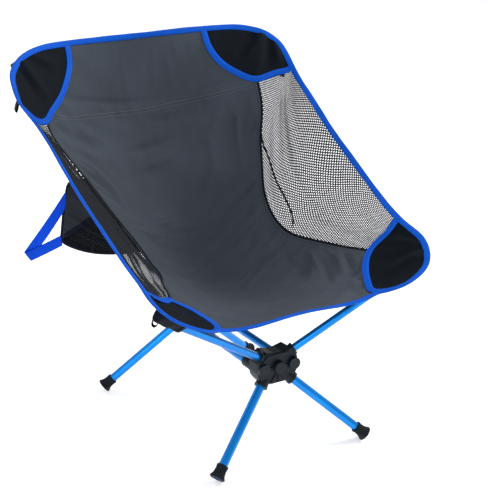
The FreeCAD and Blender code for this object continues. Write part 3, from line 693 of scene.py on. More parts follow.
# ------------------------------------------------------------------ folds of the main panel
# Creases: (s, t) points, height in mm (below 0 is a valley), half width in mm
CREASES = [
    ([(-.598, .832), (-.497, .827), (-.393, .810), (-.272, .795), (-.160, .786)], -5.2, 13),
    ([(-.560, .800), (-.450, .790), (-.350, .775), (-.250, .762)], 3.2, 12),
    ([(-.002, .833), (.090, .825), (.175, .829), (.250, .839), (.312, .850)], -4.0, 10),
    ([(-.132, .777), (-.025, .775), (.065, .781), (.130, .788)], -3.4, 10),
    ([(-.100, .745), (.010, .748), (.110, .760)], 2.6, 12),
    ([(.460, .843), (.455, .793), (.482, .727), (.495, .653)], -5.0, 13),
    ([(.400, .835), (.395, .785), (.415, .720), (.430, .655)], 3.6, 12),
    ([(.347, .619), (.405, .625), (.480, .638)], -4.2, 12),
    ([(-.477, .891), (-.265, .880), (-.080, .867), (.040, .866), (.118, .870)], -3.0, 8),
    ([(.305, .875), (.370, .880), (.465, .888)], -3.0, 8),
    ([(-.508, .760), (-.417, .749), (-.355, .724), (-.305, .690), (-.297, .648)], 4.6, 11),
    ([(-.520, .735), (-.450, .722), (-.390, .695), (-.350, .650)], -3.8, 9),
    ([(.423, .355), (.363, .294), (.290, .210)], -6.0, 12),
    ([(.470, .300), (.417, .250), (.350, .180)], 5.0, 10),
    ([(.445, .263), (.387, .204), (.347, .151)], -5.0, 8),
    ([(.495, .245), (.470, .190), (.440, .140)], 4.2, 8),
    ([(.520, .200), (.505, .150), (.480, .105)], -4.4, 8),
    ([(.373, .848), (.367, .815), (.373, .771), (.345, .720)], -3.0, 9),
    ([(.268, .772), (.275, .719), (.220, .673), (.155, .647)], 3.2, 13),
    ([(.300, .700), (.250, .640), (.200, .610)], -2.8, 12),
    ([(.528, .593), (.505, .504), (.475, .400), (.440, .327)], -3.6, 14),
    ([(-.297, .640), (-.292, .554), (-.230, .480)], 3.0, 18),
    ([(-.420, .620), (-.400, .540), (-.350, .470)], -3.0, 15),
    ([(-.450, .330), (-.350, .270), (-.240, .220)], -3.6, 14),
    ([(-.420, .250), (-.330, .200), (-.230, .170)], 3.0, 11),
    ([(.025, .253), (.162, .222), (.272, .183)], 1.8, 16),
]
# Ripples on both sides: start, end, height, wave length, half width, growth of the wave
# length, phase, and the phase added (left) or taken off (right)
RIPPLES = [
    ((215, 262, 555), (110, 250, 400), 1.8, 30, 34, 0.9, 0.6, 1),
    ((205, 272, 560), (30, 318, 455), 1.6, 26, 26, 1.2, 1.2, 0),
    ((200, -150, 318), (90, -190, 268), 2.0, 23, 30, 0.8, 0.9, 0),
    ((180, -185, 300), (110, -150, 262), 1.6, 17, 22, 0.4, 2.2, 0),
    ((146, 60, 326), (70, 110, 240), 1.8, 34, 44, 0.5, 2.6, 0),
    ((168, 190, 450), (120, 110, 300), 1.6, 24, 30, 0.3, 0.0, 0.5),
]
# Soft slack: height, then two waves as (x, y, z) turns per metre and phase
SLACK = [
    (0.9, (31, 23, 0), 5, (0, -19, 27), 2),
    (0.7, (57, 0, -41), 1, (33, 49, 0), 0),
    (0.45, (121, 0, 67), 3, (-71, 93, 0), 1),
]


def ripple_height(points, start, end, height, wave, width, growth, phase):
    """Ripples that run from start to end."""
    run_out = 15                                 # mm before the start
    start, end = start + SHIFT, end + SHIFT
    span = np.linalg.norm(end - start)
    direction = (end - start) / span
    offset = points - start
    x = offset @ direction
    radial = offset - x[..., None] * direction
    side = unit(np.cross(direction, np.array([0, -0.55, 0.83])))
    y = radial @ side
    away = np.linalg.norm(radial - y[..., None] * side, axis=-1)
    envelope = np.exp(-(y / width) ** 2) * np.exp(-(away / 60.0) ** 2)
    share = np.clip((x + run_out) / (span * 1.25 + run_out), 0, 1)
    along = np.where((x > -run_out) & (x < span * 1.25), np.sin(np.pi * share), 0)
    fan = 1 + growth * np.clip(x / span, 0, 1)
    return height * envelope * along * np.cos(2 * np.pi * y / (wave * fan) + phase)


def cloth_folds(points):
    """Height of creases, ripples from the corners and soft slack."""
    height = np.zeros(points.shape[:-1])
    for line, rise, width in CREASES:
        distance, index = near_line(points, sling(*smooth_line(line, 60).T))
        share = index / 59.0
        ends = np.sin(np.pi * np.clip(0.08 + 0.84 * share, 0, 1)) ** 0.8
        spread = 0.85 * width * (0.75 + 0.5 * share)
        height += (1.35 * rise * ends * np.exp(-(distance / spread) ** 2)
                   * np.where(distance < 4 * width, 1, 0))
    for sign in (-1, 1):
        mirror = np.array([sign, 1, 1])
        for start, end, *shape, phase, turn in RIPPLES:
            height += ripple_height(points, start * mirror, end * mirror, *shape,
                                    phase + turn * sign)
    metres = points / 1000.0
    for rise, turns_a, phase_a, turns_b, phase_b in SLACK:
        height += (rise * np.sin(metres @ np.array(turns_a) + phase_a)
                   * np.sin(metres @ np.array(turns_b) + phase_b))
    return height


def pole_clear(points, normals, height, room=10.4):
    """Heights raised where the cloth would come within room of a pole's axis."""
    for sign in (-1, 1):
        for kind in POLES:
            root, tip, direction = pole(kind, sign)
            for _ in range(3):
                offset = points + normals * height[..., None] - root
                x = np.clip(offset @ direction, 0, np.linalg.norm(tip - root))
                distance = np.linalg.norm(offset - x[..., None] * direction, axis=-1)
                height = height + np.maximum(room - distance, 0)
    return height


def run_cloth(points, steps):
    """Where a grid of points (metres) is after a cloth simulation held by its rim."""
    rows, columns = points.shape[:2]
    mesh = bpy.data.meshes.new("panel_settle")
    mesh.from_pydata(points.reshape(-1, 3).tolist(), [], [
        (i * columns + j, i * columns + j + 1, (i + 1) * columns + j + 1, (i + 1) * columns + j)
        for i in range(rows - 1) for j in range(columns - 1)])
    obj = bpy.data.objects.new("panel_settle", mesh)
    scene = bpy.context.scene
    scene.collection.objects.link(obj)
    rim = [i * columns + j for i in range(rows) for j in range(columns)
           if i in (0, 1, rows - 2, rows - 1) or j in (0, 1, columns - 2, columns - 1)]
    obj.vertex_groups.new(name="rim").add(rim, 1.0, "REPLACE")
    cloth = obj.modifiers.new("settle", "CLOTH")
    settings = cloth.settings
    settings.quality = 7
    settings.mass = 0.22
    settings.tension_stiffness = 22
    settings.compression_stiffness = 22
    settings.shear_stiffness = 7
    settings.bending_stiffness = 0.35
    settings.air_damping = 3.0
    settings.vertex_group_mass = "rim"
    settings.shrink_min = -0.022                 # below 0 the cloth grows
    settings.effector_weights.gravity = 0.35
    cloth.collision_settings.use_collision = False
    cloth.collision_settings.use_self_collision = False
    cloth.point_cache.frame_start, cloth.point_cache.frame_end = 1, steps
    for step in range(1, steps + 1):
        scene.frame_set(step)
    result = obj.evaluated_get(bpy.context.evaluated_depsgraph_get())
    settled = result.to_mesh()
    places = np.empty(len(settled.vertices) * 3, np.float32)
    settled.vertices.foreach_get("co", places)
    result.to_mesh_clear()
    scene.frame_set(1)
    bpy.data.objects.remove(obj, do_unlink=True)
    bpy.data.meshes.remove(mesh)
    return places.reshape(points.shape)


def double_rows(values):
    """Puts a row halfway between each two rows."""
    out = np.empty((2 * len(values) - 1, values.shape[1]))
    out[::2] = values
    out[1::2] = (values[:-1] + values[1:]) / 2
    return out


def settle(points, normals, height):
    """Small wrinkles of a panel cut a little too large (mm along the normals)."""
    start = (points + normals * height[..., None])[::2, ::2] / 1000.0
    moved = run_cloth(start, steps=24)
    drop = np.nan_to_num(((moved - start) * 1000.0 * normals[::2, ::2]).sum(-1))
    sag = moving_mean(moving_mean(drop, 23), 23, axis=1)
    limit = 3.2
    wrinkles = limit * np.tanh((drop - 0.75 * sag) / limit)
    return double_rows(double_rows(wrinkles).T).T


def edge_fade(rows, columns, row_share, column_share):
    """0 on the rim of a grid, 1 inside; the shares are the widths of the fading bands."""
    v = np.linspace(0, 1, rows)[:, None]
    u = np.linspace(0, 1, columns)[None, :]

    def rise(value, width):
        return np.clip(value / width, 0, 1)
    return smoothstep(rise(v, row_share) * rise(1 - v, row_share)
                      * rise(u, column_share) * rise(1 - u, column_share))


def seam_offsets(points, normals, line):
    """Signed distance from grid points to a line on the panel, and distance along it."""
    grid, points, normals = points.shape[:2], points.reshape(-1, 3), normals.reshape(-1, 3)
    starts = arc_length(line)
    best = np.full(len(points), 1e9)
    sign = np.zeros(len(points))
    along = np.zeros(len(points))
    for i in range(len(line) - 1):
        start, step = line[i], line[i + 1] - line[i]
        span = np.linalg.norm(step)
        direction = step / span
        x = np.clip((points - start) @ direction, 0, span)
        radial = points - start - x[:, None] * direction
        distance = np.linalg.norm(radial, axis=1)
        closer = distance < best
        best[closer] = distance[closer]
        side = np.sign(np.einsum("ij,ij->i", np.cross(normals, direction), radial))
        sign[closer] = side[closer]
        along[closer] = (starts[i] + x)[closer]
    return (best * sign).reshape(grid), along.reshape(grid)


# ------------------------------------------------------------------ outlines, as (s, t) points
FRONT_EDGE = [(0, .0451), (.19, .0445), (.386, .0450), (.564, .0480)]
FRONT_CORNER = [(.564, .0480), (.635, .026), (.7087, .0100), (.78, .0085), (.8486, .0125),
                (.905, .0225), (.9456, .0384)]
FRONT_SIDE = [(.9456, .0384), (.982, .066), (1.0, .103), (1.0, .150), (1.0, .1972)]
TOP_SIDE = [(1.0, .7608), (1.0, .81), (1.0, .86), (.988, .905), (.960, .942)]
TOP_CORNER = [(.960, .942), (.925, .968), (.865, .986), (.785, .996), (.68, 1.0), (.58, 1.0),
              (.4907, 1.0)]
# Each side's lines, which differ a little: the main panel's edge in three parts (hem, seam,
# top), the bands where the pockets meet the net, and the pockets' outer edges
SEAMS = {
    "left": dict(
        hem=[(.545, .0478), (.536, .060), (.5375, .082), (.558, .106), (.596, .131),
             (.662, .152)],
        seam=[(.662, .152), (.610, .176), (.5629, .2080), (.5444, .2644), (.5528, .3293),
              (.5535, .3868), (.5516, .4321), (.5471, .4834), (.5451, .5423), (.5401, .5929),
              (.5371, .6459), (.5320, .7041), (.5300, .7624), (.5500, .8264), (.6022, .8690)],
        top=[(.6022, .8690), (.5225, .8938), (.4847, .9137), (.4621, .9392), (.4626, .9697),
             (.4907, 1.0)],
        front_band=[(.662, .152), (.754, .1625), (.85, .171), (.93, .184), (1.0, .1972)],
        top_band=[(.6022, .8690), (.7336, .8557), (.88, .815), (1.0, .7608)],
        front_corner=[(.545, .0478)] + FRONT_CORNER,
        front_side=FRONT_SIDE,
        top_side=TOP_SIDE,
        top_corner=TOP_CORNER),
    "right": dict(
        hem=[(.543, .0478), (.524, .071), (.535, .098), (.575, .117), (.64, .1265),
             (.72, .128)],
        seam=[(.72, .128), (.66, .146), (.605, .172), (.56, .215), (.535, .27), (.528, .33),
              (.527, .40), (.52, .46), (.513, .524), (.512, .585), (.517, .64), (.545, .69),
              (.578, .715), (.612, .745), (.635, .785), (.65, .832)],
        top=[(.65, .832), (.60, .855), (.562, .872), (.512, .899), (.485, .93), (.48, .96),
             (.500, .985), (.515, 1.0)],
        front_band=[(.72, .128), (.79, .115), (.87, .108), (.94, .108), (1.0, .112)],
        top_band=[(.65, .832), (.75, .806), (.88, .775), (1.0, .745)],
        front_corner=[(.543, .0478)] + FRONT_CORNER,
        front_side=[(.9456, .0384), (.975, .058), (.995, .083), (1.0, .112)],
        top_side=[(1.0, .745), (1.0, .80)] + TOP_SIDE[2:],
        top_corner=TOP_CORNER[:-1] + [(.515, 1.0)]),
}
HEM_STEPS, SEAM_STEPS, TOP_STEPS = 20, 158, 38
SEAM_END = HEM_STEPS + SEAM_STEPS


def panel_edge(lines):
    """The main panel's side edge: three smooth parts with corners between them."""
    return np.concatenate([smooth_line(lines["hem"], HEM_STEPS),
                           smooth_line(lines["seam"], SEAM_STEPS)[1:],
                           smooth_line(lines["top"], TOP_STEPS)[1:]])


PANEL_EDGE = {side: panel_edge(lines) for side, lines in SEAMS.items()}

# ------------------------------------------------------------------ main panel
PANEL_HALF = 80                                  # columns on each side of the middle
BACK_SEAM = [(-.60, .852), (-.45, .8525), (-.325, .853), (-.14, .850), (.005, .848),
             (.12, .853), (.268, .859), (.387, .863), (.48, .863), (.60, .860)]
FRONT_SEAM = [(-.56, .085), (-.47, .100), (-.383, .122), (-.22, .165), (-.07, .188),
              (.095, .184), (.23, .165), (.365, .146), (.482, .140), (.56, .142)]
BACK_STITCH = 3.2                                # mm from the back seam to its stitch rows
SIDE_STITCH = 7.0                                # mm from the panel's edge to its stitches


def panel_grid():
    """(s, t) grid between both edges, with its first rows bent to the front edge."""
    left, right = PANEL_EDGE["left"][:, None], PANEL_EDGE["right"][:, None]
    across = np.linspace(-1, 1, 2 * PANEL_HALF + 1)[None]
    share = (across + 1) / 2
    s = np.where(across >= 0, left[..., 0] * across, right[..., 0] * across)
    level = right[..., 1] * (1 - share) + left[..., 1] * share
    front = .0451 + .0029 * (s[0] / .564) ** 4
    weight = smoothstep(np.clip(1 - np.arange(len(left)) / 16.0, 0, 1)[:, None])
    t = level * (1 - weight) + (front[None] + level - level[0]) * weight
    return np.stack([s, t], 2)


def make_main_panel():
    grid = panel_grid()
    points, normals = on_sling(grid)
    fade = edge_fade(*points.shape[:2], row_share=0.03, column_share=0.045)
    limit = 9.0
    height = limit * np.tanh(cloth_folds(points) * fade / limit)
    calm_top = 1 - 0.65 * np.clip((grid[..., 1] - .85) / .03, 0, 1)
    height = height + settle(points, normals, height) * fade * calm_top
    height = pole_clear(points, normals, height)
    back, back_along = seam_offsets(points, normals, sling(*smooth_line(BACK_SEAM, 60).T))
    front, front_along = seam_offsets(points, normals, sling(*smooth_line(FRONT_SEAM, 60).T))
    # a raised seam with a groove on either side at the back, a raised line at the front
    ridge = (0.8 * np.exp(-(back / 4.5) ** 2)
             - 0.6 * np.exp(-((np.abs(back) - BACK_STITCH) / 1.5) ** 2)
             + 0.5 * np.exp(-(front / 3.0) ** 2))
    from_edge = np.minimum(np.linalg.norm(points - points[:, :1], axis=2),
                           np.linalg.norm(points - points[:, -1:], axis=2))
    edge_length = arc_length(points[:, -1])[:, None]
    panel = slab("seat_main_cloth", points + normals * (height + ridge)[..., None], normals,
                 1.1, lengths(points),
                 {"seam_back_a": back - BACK_STITCH,
                  "seam_back_b": back + BACK_STITCH,
                  "seam_front": front,
                  "seam_along": np.where(np.abs(back) < 30, back_along, front_along),
                  "seam_side": from_edge - SIDE_STITCH,
                  "along_mm": np.broadcast_to(edge_length, points.shape[:2])})
    piece(panel, "seat", "seat_fabric", "seat_fabric", "seat_main_panel")


make_main_panel()

# ------------------------------------------------------------------ nets
HEXAGON = [(0, 2 / 3.0), (0.5, 1 / 3.0), (0.5, -1 / 3.0), (0, -2 / 3.0), (-0.5, -1 / 3.0),
           (-0.5, 1 / 3.0)]
# Corners and side middles of a cell in pitches, with the share kept towards the hole: the
# corners are drawn in, so that the twelve-sided holes read as round
CELL = []
for (x, y), (next_x, next_y) in zip(HEXAGON, HEXAGON[1:] + HEXAGON[:1]):
    CELL += [(x, y, 0.90), ((x + next_x) / 2, (y + next_y) / 2, 1.0)]


def net_sheet(name, surface, width, length, pitch, strand, thickness):
    """Hexagonal net with real holes over surface(u, v), which gives points and normals."""
    columns, rows = round(width / pitch), round(length / (pitch * 0.866))
    step_u, step_v = 1.0 / columns, 1.0 / rows
    hole = 1 - strand / pitch
    size = len(CELL)
    shared, places, half, faces = {}, [], [], []

    def shared_vertex(u, v):
        key = (round(u * 2e4), round(v * 2e4))
        if key not in shared:
            shared[key] = len(places)
            places.append((u, v))
            half.append(thickness / 2)
        return shared[key]

    def held(cell, margin):
        low_u, low_v = margin * step_u, margin * step_v
        return [(min(max(u, low_u), 1 - low_u), min(max(v, low_v), 1 - low_v))
                for u, v in cell]

    for row in range(rows + 1):
        for column in range(columns + 1):
            mid_u = (column + (0.5 if row % 2 else 0.0)) * step_u
            mid_v = row * step_v
            if mid_u > 1.0 + 1e-9:
                continue
            outer = [(mid_u + x * step_u, mid_v + y * step_v) for x, y, _ in CELL]
            inner = [(mid_u + x * keep * step_u * hole, mid_v + y * keep * step_v * hole)
                     for x, y, keep in CELL]
            if (mid_u - step_u / 2 < -1e-9 or mid_u + step_u / 2 > 1 + 1e-9
                    or mid_v - step_v * 2 / 3 < -1e-9 or mid_v + step_v * 2 / 3 > 1 + 1e-9):
                outer, inner = held(outer, 0), held(inner, 0.15)
            rim = [shared_vertex(*place) for place in outer]
            first = len(places)
            places += inner
            # the strands are thinner at the holes
            half += [thickness * 0.5 / 2] * size
            for k in range(size):
                after = (k + 1) % size
                if rim[k] != rim[after]:
                    faces.append((rim[k], rim[after], first + after, first + k))
    uv = np.array(places)
    points, normals = surface(uv[:, 0], uv[:, 1])
    lift = normals * np.array(half)[:, None]
    count = len(uv)
    edges = dict.fromkeys(edge for face in faces for edge in zip(face, face[1:] + face[:1]))
    faces = faces + [tuple(i + count for i in face[::-1]) for face in faces]
    faces += [(end, start, start + count, end + count) for start, end in edges
              if (end, start) not in edges]
    uv = np.stack([uv[:, 0] * width, uv[:, 1] * length], 1) / 1000
    return make_mesh(name, np.concatenate([points + lift, points - lift]), faces,
                     np.concatenate([uv] * 2))


def bilinear(points, normals):
    """A surface(u, v) through a grid of points and normals."""
    rows, columns = points.shape[:2]

    def surface(u, v):
        x, y = np.clip(u, 0, 1) * (columns - 1), np.clip(v, 0, 1) * (rows - 1)
        j, i = np.clip(x.astype(int), 0, columns - 2), np.clip(y.astype(int), 0, rows - 2)
        x, y = (x - j)[:, None], (y - i)[:, None]

        def blend(grid):
            return (grid[i, j] * (1 - x) * (1 - y) + grid[i, j + 1] * x * (1 - y)
                    + grid[i + 1, j] * (1 - x) * y + grid[i + 1, j + 1] * x * y)
        return blend(points), unit(blend(normals))
    return surface


# A pleat leaves the net's inner seam, runs down through the net and comes back to the seam
PLEAT = [(.531, .752), (.546, .715), (.574, .675), (.604, .630), (.627, .575), (.639, .520),
         (.637, .465), (.612, .425), (.575, .405)]
NET_WAVES = {"right": 0.4, "left": 1.0}          # strength of the net's waves
NET_STRANDS = {"right": 1.45, "left": 1.95}      # mm


def net_grid(side):
    lines = SEAMS[side]
    seam = PANEL_EDGE[side][HEM_STEPS:SEAM_END + 1]
    share = arc_length(sling(*seam.T))
    share /= share[-1]
    low, high = lines["front_band"][-1][1], lines["top_band"][-1][1]
    edge = np.stack([np.ones(len(seam)), low + (high - low) * share], 1)
    return coons(smooth_line(lines["front_band"], 60), smooth_line(lines["top_band"], 60),
                 seam, edge)


def pleat_line(side):
    """The pleat, moved across by as much as this side's seam differs from the left one."""
    line = smooth_line(PLEAT, 120)
    own, left = [smooth_line(SEAMS[key]["seam"], 200) for key in (side, "left")]
    line[:, 0] += (np.interp(line[:, 1], own[:, 1], own[:, 0])
                   - np.interp(line[:, 1], left[:, 1], left[:, 0]))
    return line


def net_height(side, grid, points, pleat, pleat_points):
    """Slack between the edges, waves, and a step at the pleat."""
    rows, columns = points.shape[:2]
    v = np.linspace(0, 1, rows)[:, None]
    u = np.linspace(0, 1, columns)[None, :]
    slack = (np.sin(np.pi * u) * np.sin(np.pi * v)) ** 0.8
    fan = u + 0.22 * (1 - v)
    wave = NET_WAVES[side]
    height = (-1.2 * slack
              + wave * 2.6 * slack * np.sin(2 * np.pi * (2.6 * fan + 0.5 * v) + 0.7)
              + wave * 1.3 * slack * np.sin(2 * np.pi * (5.2 * fan - 0.8 * v) + 1))
    distance, index = near_line(points, pleat_points)
    ends = np.sin(np.pi * np.clip(index / 120.0, 0, 1)) ** 0.5
    height = height + ends * np.where(grid[..., 0] < pleat[index, 0],
                                      3.4 * np.exp(-distance / 11.0),
                                      -1.6 * np.exp(-distance / 5.0))
    return height * edge_fade(rows, columns, row_share=0.02, column_share=0.05)


def make_net(side, sign):
    grid = net_grid(side)
    flat, flat_normals = on_sling(grid, sign)
    pleat = pleat_line(side)
    pleat_points, pleat_normals = on_sling(pleat, sign)
    height = net_height(side, grid, flat, pleat, pleat_points)
    points = flat + flat_normals * height[..., None]
    normals = unit(np.cross(np.gradient(points, axis=1), np.gradient(points, axis=0)))
    facing = np.sign(np.einsum("ijk,ijk->ij", normals, flat_normals))
    normals = normals * facing[..., None]
    width = float(np.mean(np.linalg.norm(np.diff(flat, axis=1), axis=2).sum(1))) * 1.04
    length = float(np.mean(np.linalg.norm(np.diff(flat, axis=0), axis=2).sum(0)))
    net = net_sheet("side_net_" + side, bilinear(points, normals), width, length, pitch=4.4,
                    strand=NET_STRANDS[side], thickness=0.9)
    piece(net, "seat", "net_fabric", "net_fabric", "seat_net_" + side)
    # tape on the inner seam
    seam = strip("net_seam_tape_" + side, points[:, 0] + flat_normals[:, 0] * 0.9,
                 flat_normals[:, 0], rounded(4.6, 1.2, 0.55), trim=2)
    piece(seam, "seat", "black_webbing", "black_webbing")
    # the pleat's edge follows the net's height
    pleat_points, pleat_normals = pleat_points[3:-3], pleat_normals[3:-3]
    flat = flat.reshape(-1, 3)
    pick = np.array([((flat - point) ** 2).sum(1).argmin() for point in pleat_points])
    lift = np.einsum("ij,ij->i", points.reshape(-1, 3)[pick] - flat[pick],
                     normals.reshape(-1, 3)[pick])
    path = pleat_points + pleat_normals * (moving_mean(lift, 13) + 1.3)[:, None]
    edge = strip("net_pleat_" + side, path, pleat_normals, rounded(3.4, 1.5, 0.7))
    piece(edge, "seat", "black_webbing", "black_webbing")


for side, sign in SIDES:
    make_net(side, sign)


# ------------------------------------------------------------------ corner pockets
def make_pocket(kind, side, sign, grid, seed):
    """Pocket cloth with a soft ridge over the pole and creases fanning from its tip."""
    _, tip, direction = pole(kind, sign)
    points, normals = on_sling(grid, sign)
    offset = points - tip
    x = -(offset @ direction)
    y = np.einsum("ijk,ijk->ij", offset, unit(np.cross(direction, normals)))
    ridge = (3.8 * np.exp(-(y / 12.0) ** 2) * np.clip((x + 10) / 25, 0, 1)
             * np.exp(-(np.clip(x, 0, None) / 95.0) ** 2))
    angle = np.arctan2(y, x + 30)
    reach = np.hypot(x + 10, y)
    crease = 1.9 * np.sin(angle * 9 + seed) * np.exp(-((reach - 40) / 40.0) ** 2)
    crease += 1.1 * np.sin(angle * 17 + 2 * seed) * np.exp(-((reach - 55) / 28.0) ** 2)
    fade = edge_fade(*points.shape[:2], row_share=0.12, column_share=0.12)
    height = np.clip((ridge + crease) * fade, -1.6, 5.5) + 0.25
    obj = slab(f"{kind}_pocket_cloth_{side}", points + normals * height[..., None], normals,
               1.1, lengths(points))
    piece(obj, "seat", "pocket_fabric", "pocket_fabric", f"{kind}_pocket_{side}")


for side, sign in SIDES:
    lines, edge = SEAMS[side], PANEL_EDGE[side]
    front_grid = coons(smooth_line(lines["front_corner"], 48),
                       smooth_line(lines["front_band"], 48),
                       straight_line(edge[:HEM_STEPS + 1], 40),
                       smooth_line(lines["front_side"], 40))
    top_grid = coons(smooth_line(lines["top_band"], 48),
                     smooth_line(lines["top_corner"], 48)[::-1],
                     straight_line(edge[SEAM_END:], 44),
                     smooth_line(lines["top_side"], 44))
    make_pocket("front", side, sign, front_grid, seed=0.6 + sign)
    make_pocket("top", side, sign, top_grid, seed=1.9 + sign)

# ------------------------------------------------------------------ binding round the sling
# Folded tape as (across, up) points
BINDING_PROFILE = np.array([
    (5.6, 0.5), (5.5, 1.15), (4.0, 1.75), (1.4, 2.0), (-1.6, 2.1), (-4.1, 1.95), (-5.2, 1.3),
    (-5.6, 0.0), (-5.2, -1.3), (-4.1, -1.95), (-1.6, -2.1), (1.4, -2.0), (4.0, -1.75),
    (5.5, -1.15), (5.6, -0.5), (4.9, 0.0)])


def make_binding():
    half = np.concatenate([
        smooth_line(FRONT_EDGE, 40)[:-1], smooth_line(FRONT_CORNER, 34)[:-1],
        smooth_line(FRONT_SIDE, 24)[:-1],
        np.stack([np.ones(80), np.linspace(FRONT_SIDE[-1][1], TOP_SIDE[0][1], 81)[:-1]], 1),
        smooth_line(TOP_SIDE, 24)[:-1], smooth_line(TOP_CORNER, 34)[:-1],
        np.stack([np.linspace(TOP_CORNER[-1][0], 0, 31), np.ones(31)], 1)])
    loop = np.concatenate([half, (half * np.array([-1, 1]))[::-1][1:-1]])
    path, normals = on_sling(loop)
    path, normals = relax(path, 5), unit(relax(normals, 14))
    tangent = loop_tangents(path)
    side = unit(np.cross(normals, tangent))
    up = np.cross(tangent, side)
    outward = np.sign(np.einsum("ij,ij->i", side, path - path.mean(0))).mean()
    # the tape's width and thickness vary a little
    along = arc_length(path)
    width = 1 + 0.035 * np.sin(along / 21.0) + 0.02 * np.sin(along / 9.0 + 1)
    thickness = 1 + 0.06 * np.sin(along / 13.0 + 2)
    profile = BINDING_PROFILE * np.array([-outward, 1.0])
    profile = profile[None] * np.stack([width, thickness], 1)[:, None]
    obj = sweep("edge_binding", path + up * 0.25, side, up, profile, closed=True)
    piece(obj, "seat", "blue_binding", "blue_binding", "seat_edge_binding")


make_binding()

# ------------------------------------------------------------------ tapes on the pocket edges
# (across, up) points
TAPE_PROFILE = [(6.1, -0.5), (6.1, 0.25), (5.3, 0.75), (2.0, 1.0), (-2.0, 1.0), (-5.3, 0.75),
                (-6.1, 0.25), (-6.1, -0.5), (-2.6, -0.55), (2.6, -0.55)]


def make_tape(name, curve, sign):
    """A tape along a curve, sinking towards the sling over its last 12 mm at both ends."""
    path, normals = on_sling(smooth_line(curve, 110)[1:-1], sign)
    along = arc_length(path)
    ends = np.clip(np.minimum(along, along[-1] - along) / 12.0, 0, 1)
    height = 0.75 + 1.05 * ends
    obj = strip(name, path, normals, TAPE_PROFILE, shift=normals * height[:, None])
    return piece(obj, "seat", "blue_tape", "blue_binding")


for side, sign in SIDES:
    lines = SEAMS[side]
    front = [(.605, .037), (.565, .0478)] + lines["hem"][1:] + lines["front_band"][1:]
    top = lines["top_band"][::-1] + lines["top"][1:]
    make_tape("pocket_tape_front_" + side, front, sign)
    make_tape("pocket_tape_top_" + side, top, sign)
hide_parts("pocket_edge_tapes")

# ------------------------------------------------------------------ sleeves round the pole ends
SLEEVE_AHEAD = 4.0                               # mm past the pole's tip
SLEEVE_RADIUS = 9.3
SEARCH_S, SEARCH_T = np.meshgrid(np.linspace(0.30, 0.985, 190), np.linspace(0.012, 0.988, 420))
SEARCH = np.stack([SEARCH_S.ravel(), SEARCH_T.ravel()], 1)


def nearest_on_sling(targets, sign):
    """Point and normal of the sling closest to each target."""
    surface = sling(SEARCH[:, 0] * sign, SEARCH[:, 1])
    return on_sling(SEARCH[[((surface - target) ** 2).sum(1).argmin() for target in targets]],
                    sign)


def wrap(left, right, radius, loose):
    """Flat section from left, under a circle about the origin, to right."""
    def touch(point, turn):
        reach = np.linalg.norm(point)
        return (math.atan2(point[1], point[0])
                + turn * math.acos(min(0.999, radius / max(reach, radius * 1.02))))
    start, end = touch(left, -1), touch(right, +1)
    while start > math.pi / 2:
        start -= 2 * math.pi
    while end > start:
        end -= 2 * math.pi
    arc = [np.array([math.cos(angle), math.sin(angle)]) * radius
           for angle in np.linspace(start, end, 19)]
    share = np.linspace(0, 1, 9)
    section = np.array([left + (arc[0] - left) * f for f in share[:-1]] + arc
                       + [arc[-1] + (right - arc[-1]) * f for f in share[1:]])
    where = np.linspace(0, 1, len(section))
    slack = (np.sin(math.pi * np.clip(where / 0.25, 0, 1))
             + np.sin(math.pi * np.clip((1 - where) / 0.25, 0, 1)))
    section[:, 1] -= slack * loose
    return section, where


def sleeve_grid(kind, sign, back, half_width, seed):
    _, tip, direction = pole(kind, sign)
    ahead = SLEEVE_AHEAD
    along = np.concatenate([np.linspace(-back, -6, 34), np.linspace(-4.5, ahead, 16)])
    centre = tip + along[:, None] * direction
    anchor = tip + np.minimum(along, -1.0)[:, None] * direction
    normals = unit(moving_mean(nearest_on_sling(anchor, sign)[1], 7))
    side = unit(np.cross(normals, direction))
    up = np.cross(direction, side)
    taper = 1 - 0.62 * np.clip((along + 14) / (ahead + 14), 0, 1) ** 1.5
    width = (1 + 0.05 * np.sin(along / 7.0 + seed)) * half_width * taper
    edges = []
    for turn in (1, -1):
        edge, edge_normals = nearest_on_sling(anchor + turn * side * width[:, None] + up * 6,
                                              sign)
        # 1.5 mm behind the sling
        edges.append(moving_mean(edge, 5) - unit(moving_mean(edge_normals, 5)) * 1.5)
    rows = []
    for k, x in enumerate(along):
        left, right = edges[0][k], edges[1][k]
        left_flat, right_flat = [np.array([(point - centre[k]) @ side[k],
                                           (point - centre[k]) @ up[k]])
                                 for point in (left, right)]
        shrink = math.sqrt(max(0.0, 1 - max(0.0, (x + 3.0) / (ahead + 3.2)) ** 2))
        slim = min(1.0, max(0.0, (x + 26) / 20))
        radius = SLEEVE_RADIUS - 1.2 * slim + (0.45 - 0.3 * slim) * math.sin(x / 5.0 + seed)
        radius = max(0.6, radius * (0.35 + 0.65 * shrink))
        section, where = wrap(left_flat, right_flat, radius,
                              loose=math.sin(x / 6.0 + 2 * seed + 1))
        wrapped = centre[k] + section[:, :1] * side[k] + section[:, 1:] * up[k]
        # the far end closes up against the sling
        flat = left[None] + (right - left)[None] * where[:, None]
        close = smoothstep(np.clip((x - 1.4) / (ahead - 1.4), 0, 1))
        rows.append(wrapped * (1 - close) + flat * close)
    return np.array(rows), direction


def make_sleeve(kind, side, sign, back, half_width, seed):
    name = f"{kind}_sleeve_cloth_{side}"
    points, direction = sleeve_grid(kind, sign, back, half_width, seed)
    normals = unit(np.cross(np.gradient(points, axis=0), np.gradient(points, axis=1)))
    obj = slab(name, points, normals, 0.9)
    piece(obj, "seat", "pocket_fabric", "pocket_fabric", f"{kind}_sleeve_{side}")
    # hem at the sleeve's mouth
    hem = strip(name + "_hem", points[0], -direction, rounded(2.2, 7.0, 0.9),
                shift=direction * 2.0, trim=1)
    piece(hem, "seat", "black_webbing", "black_webbing")


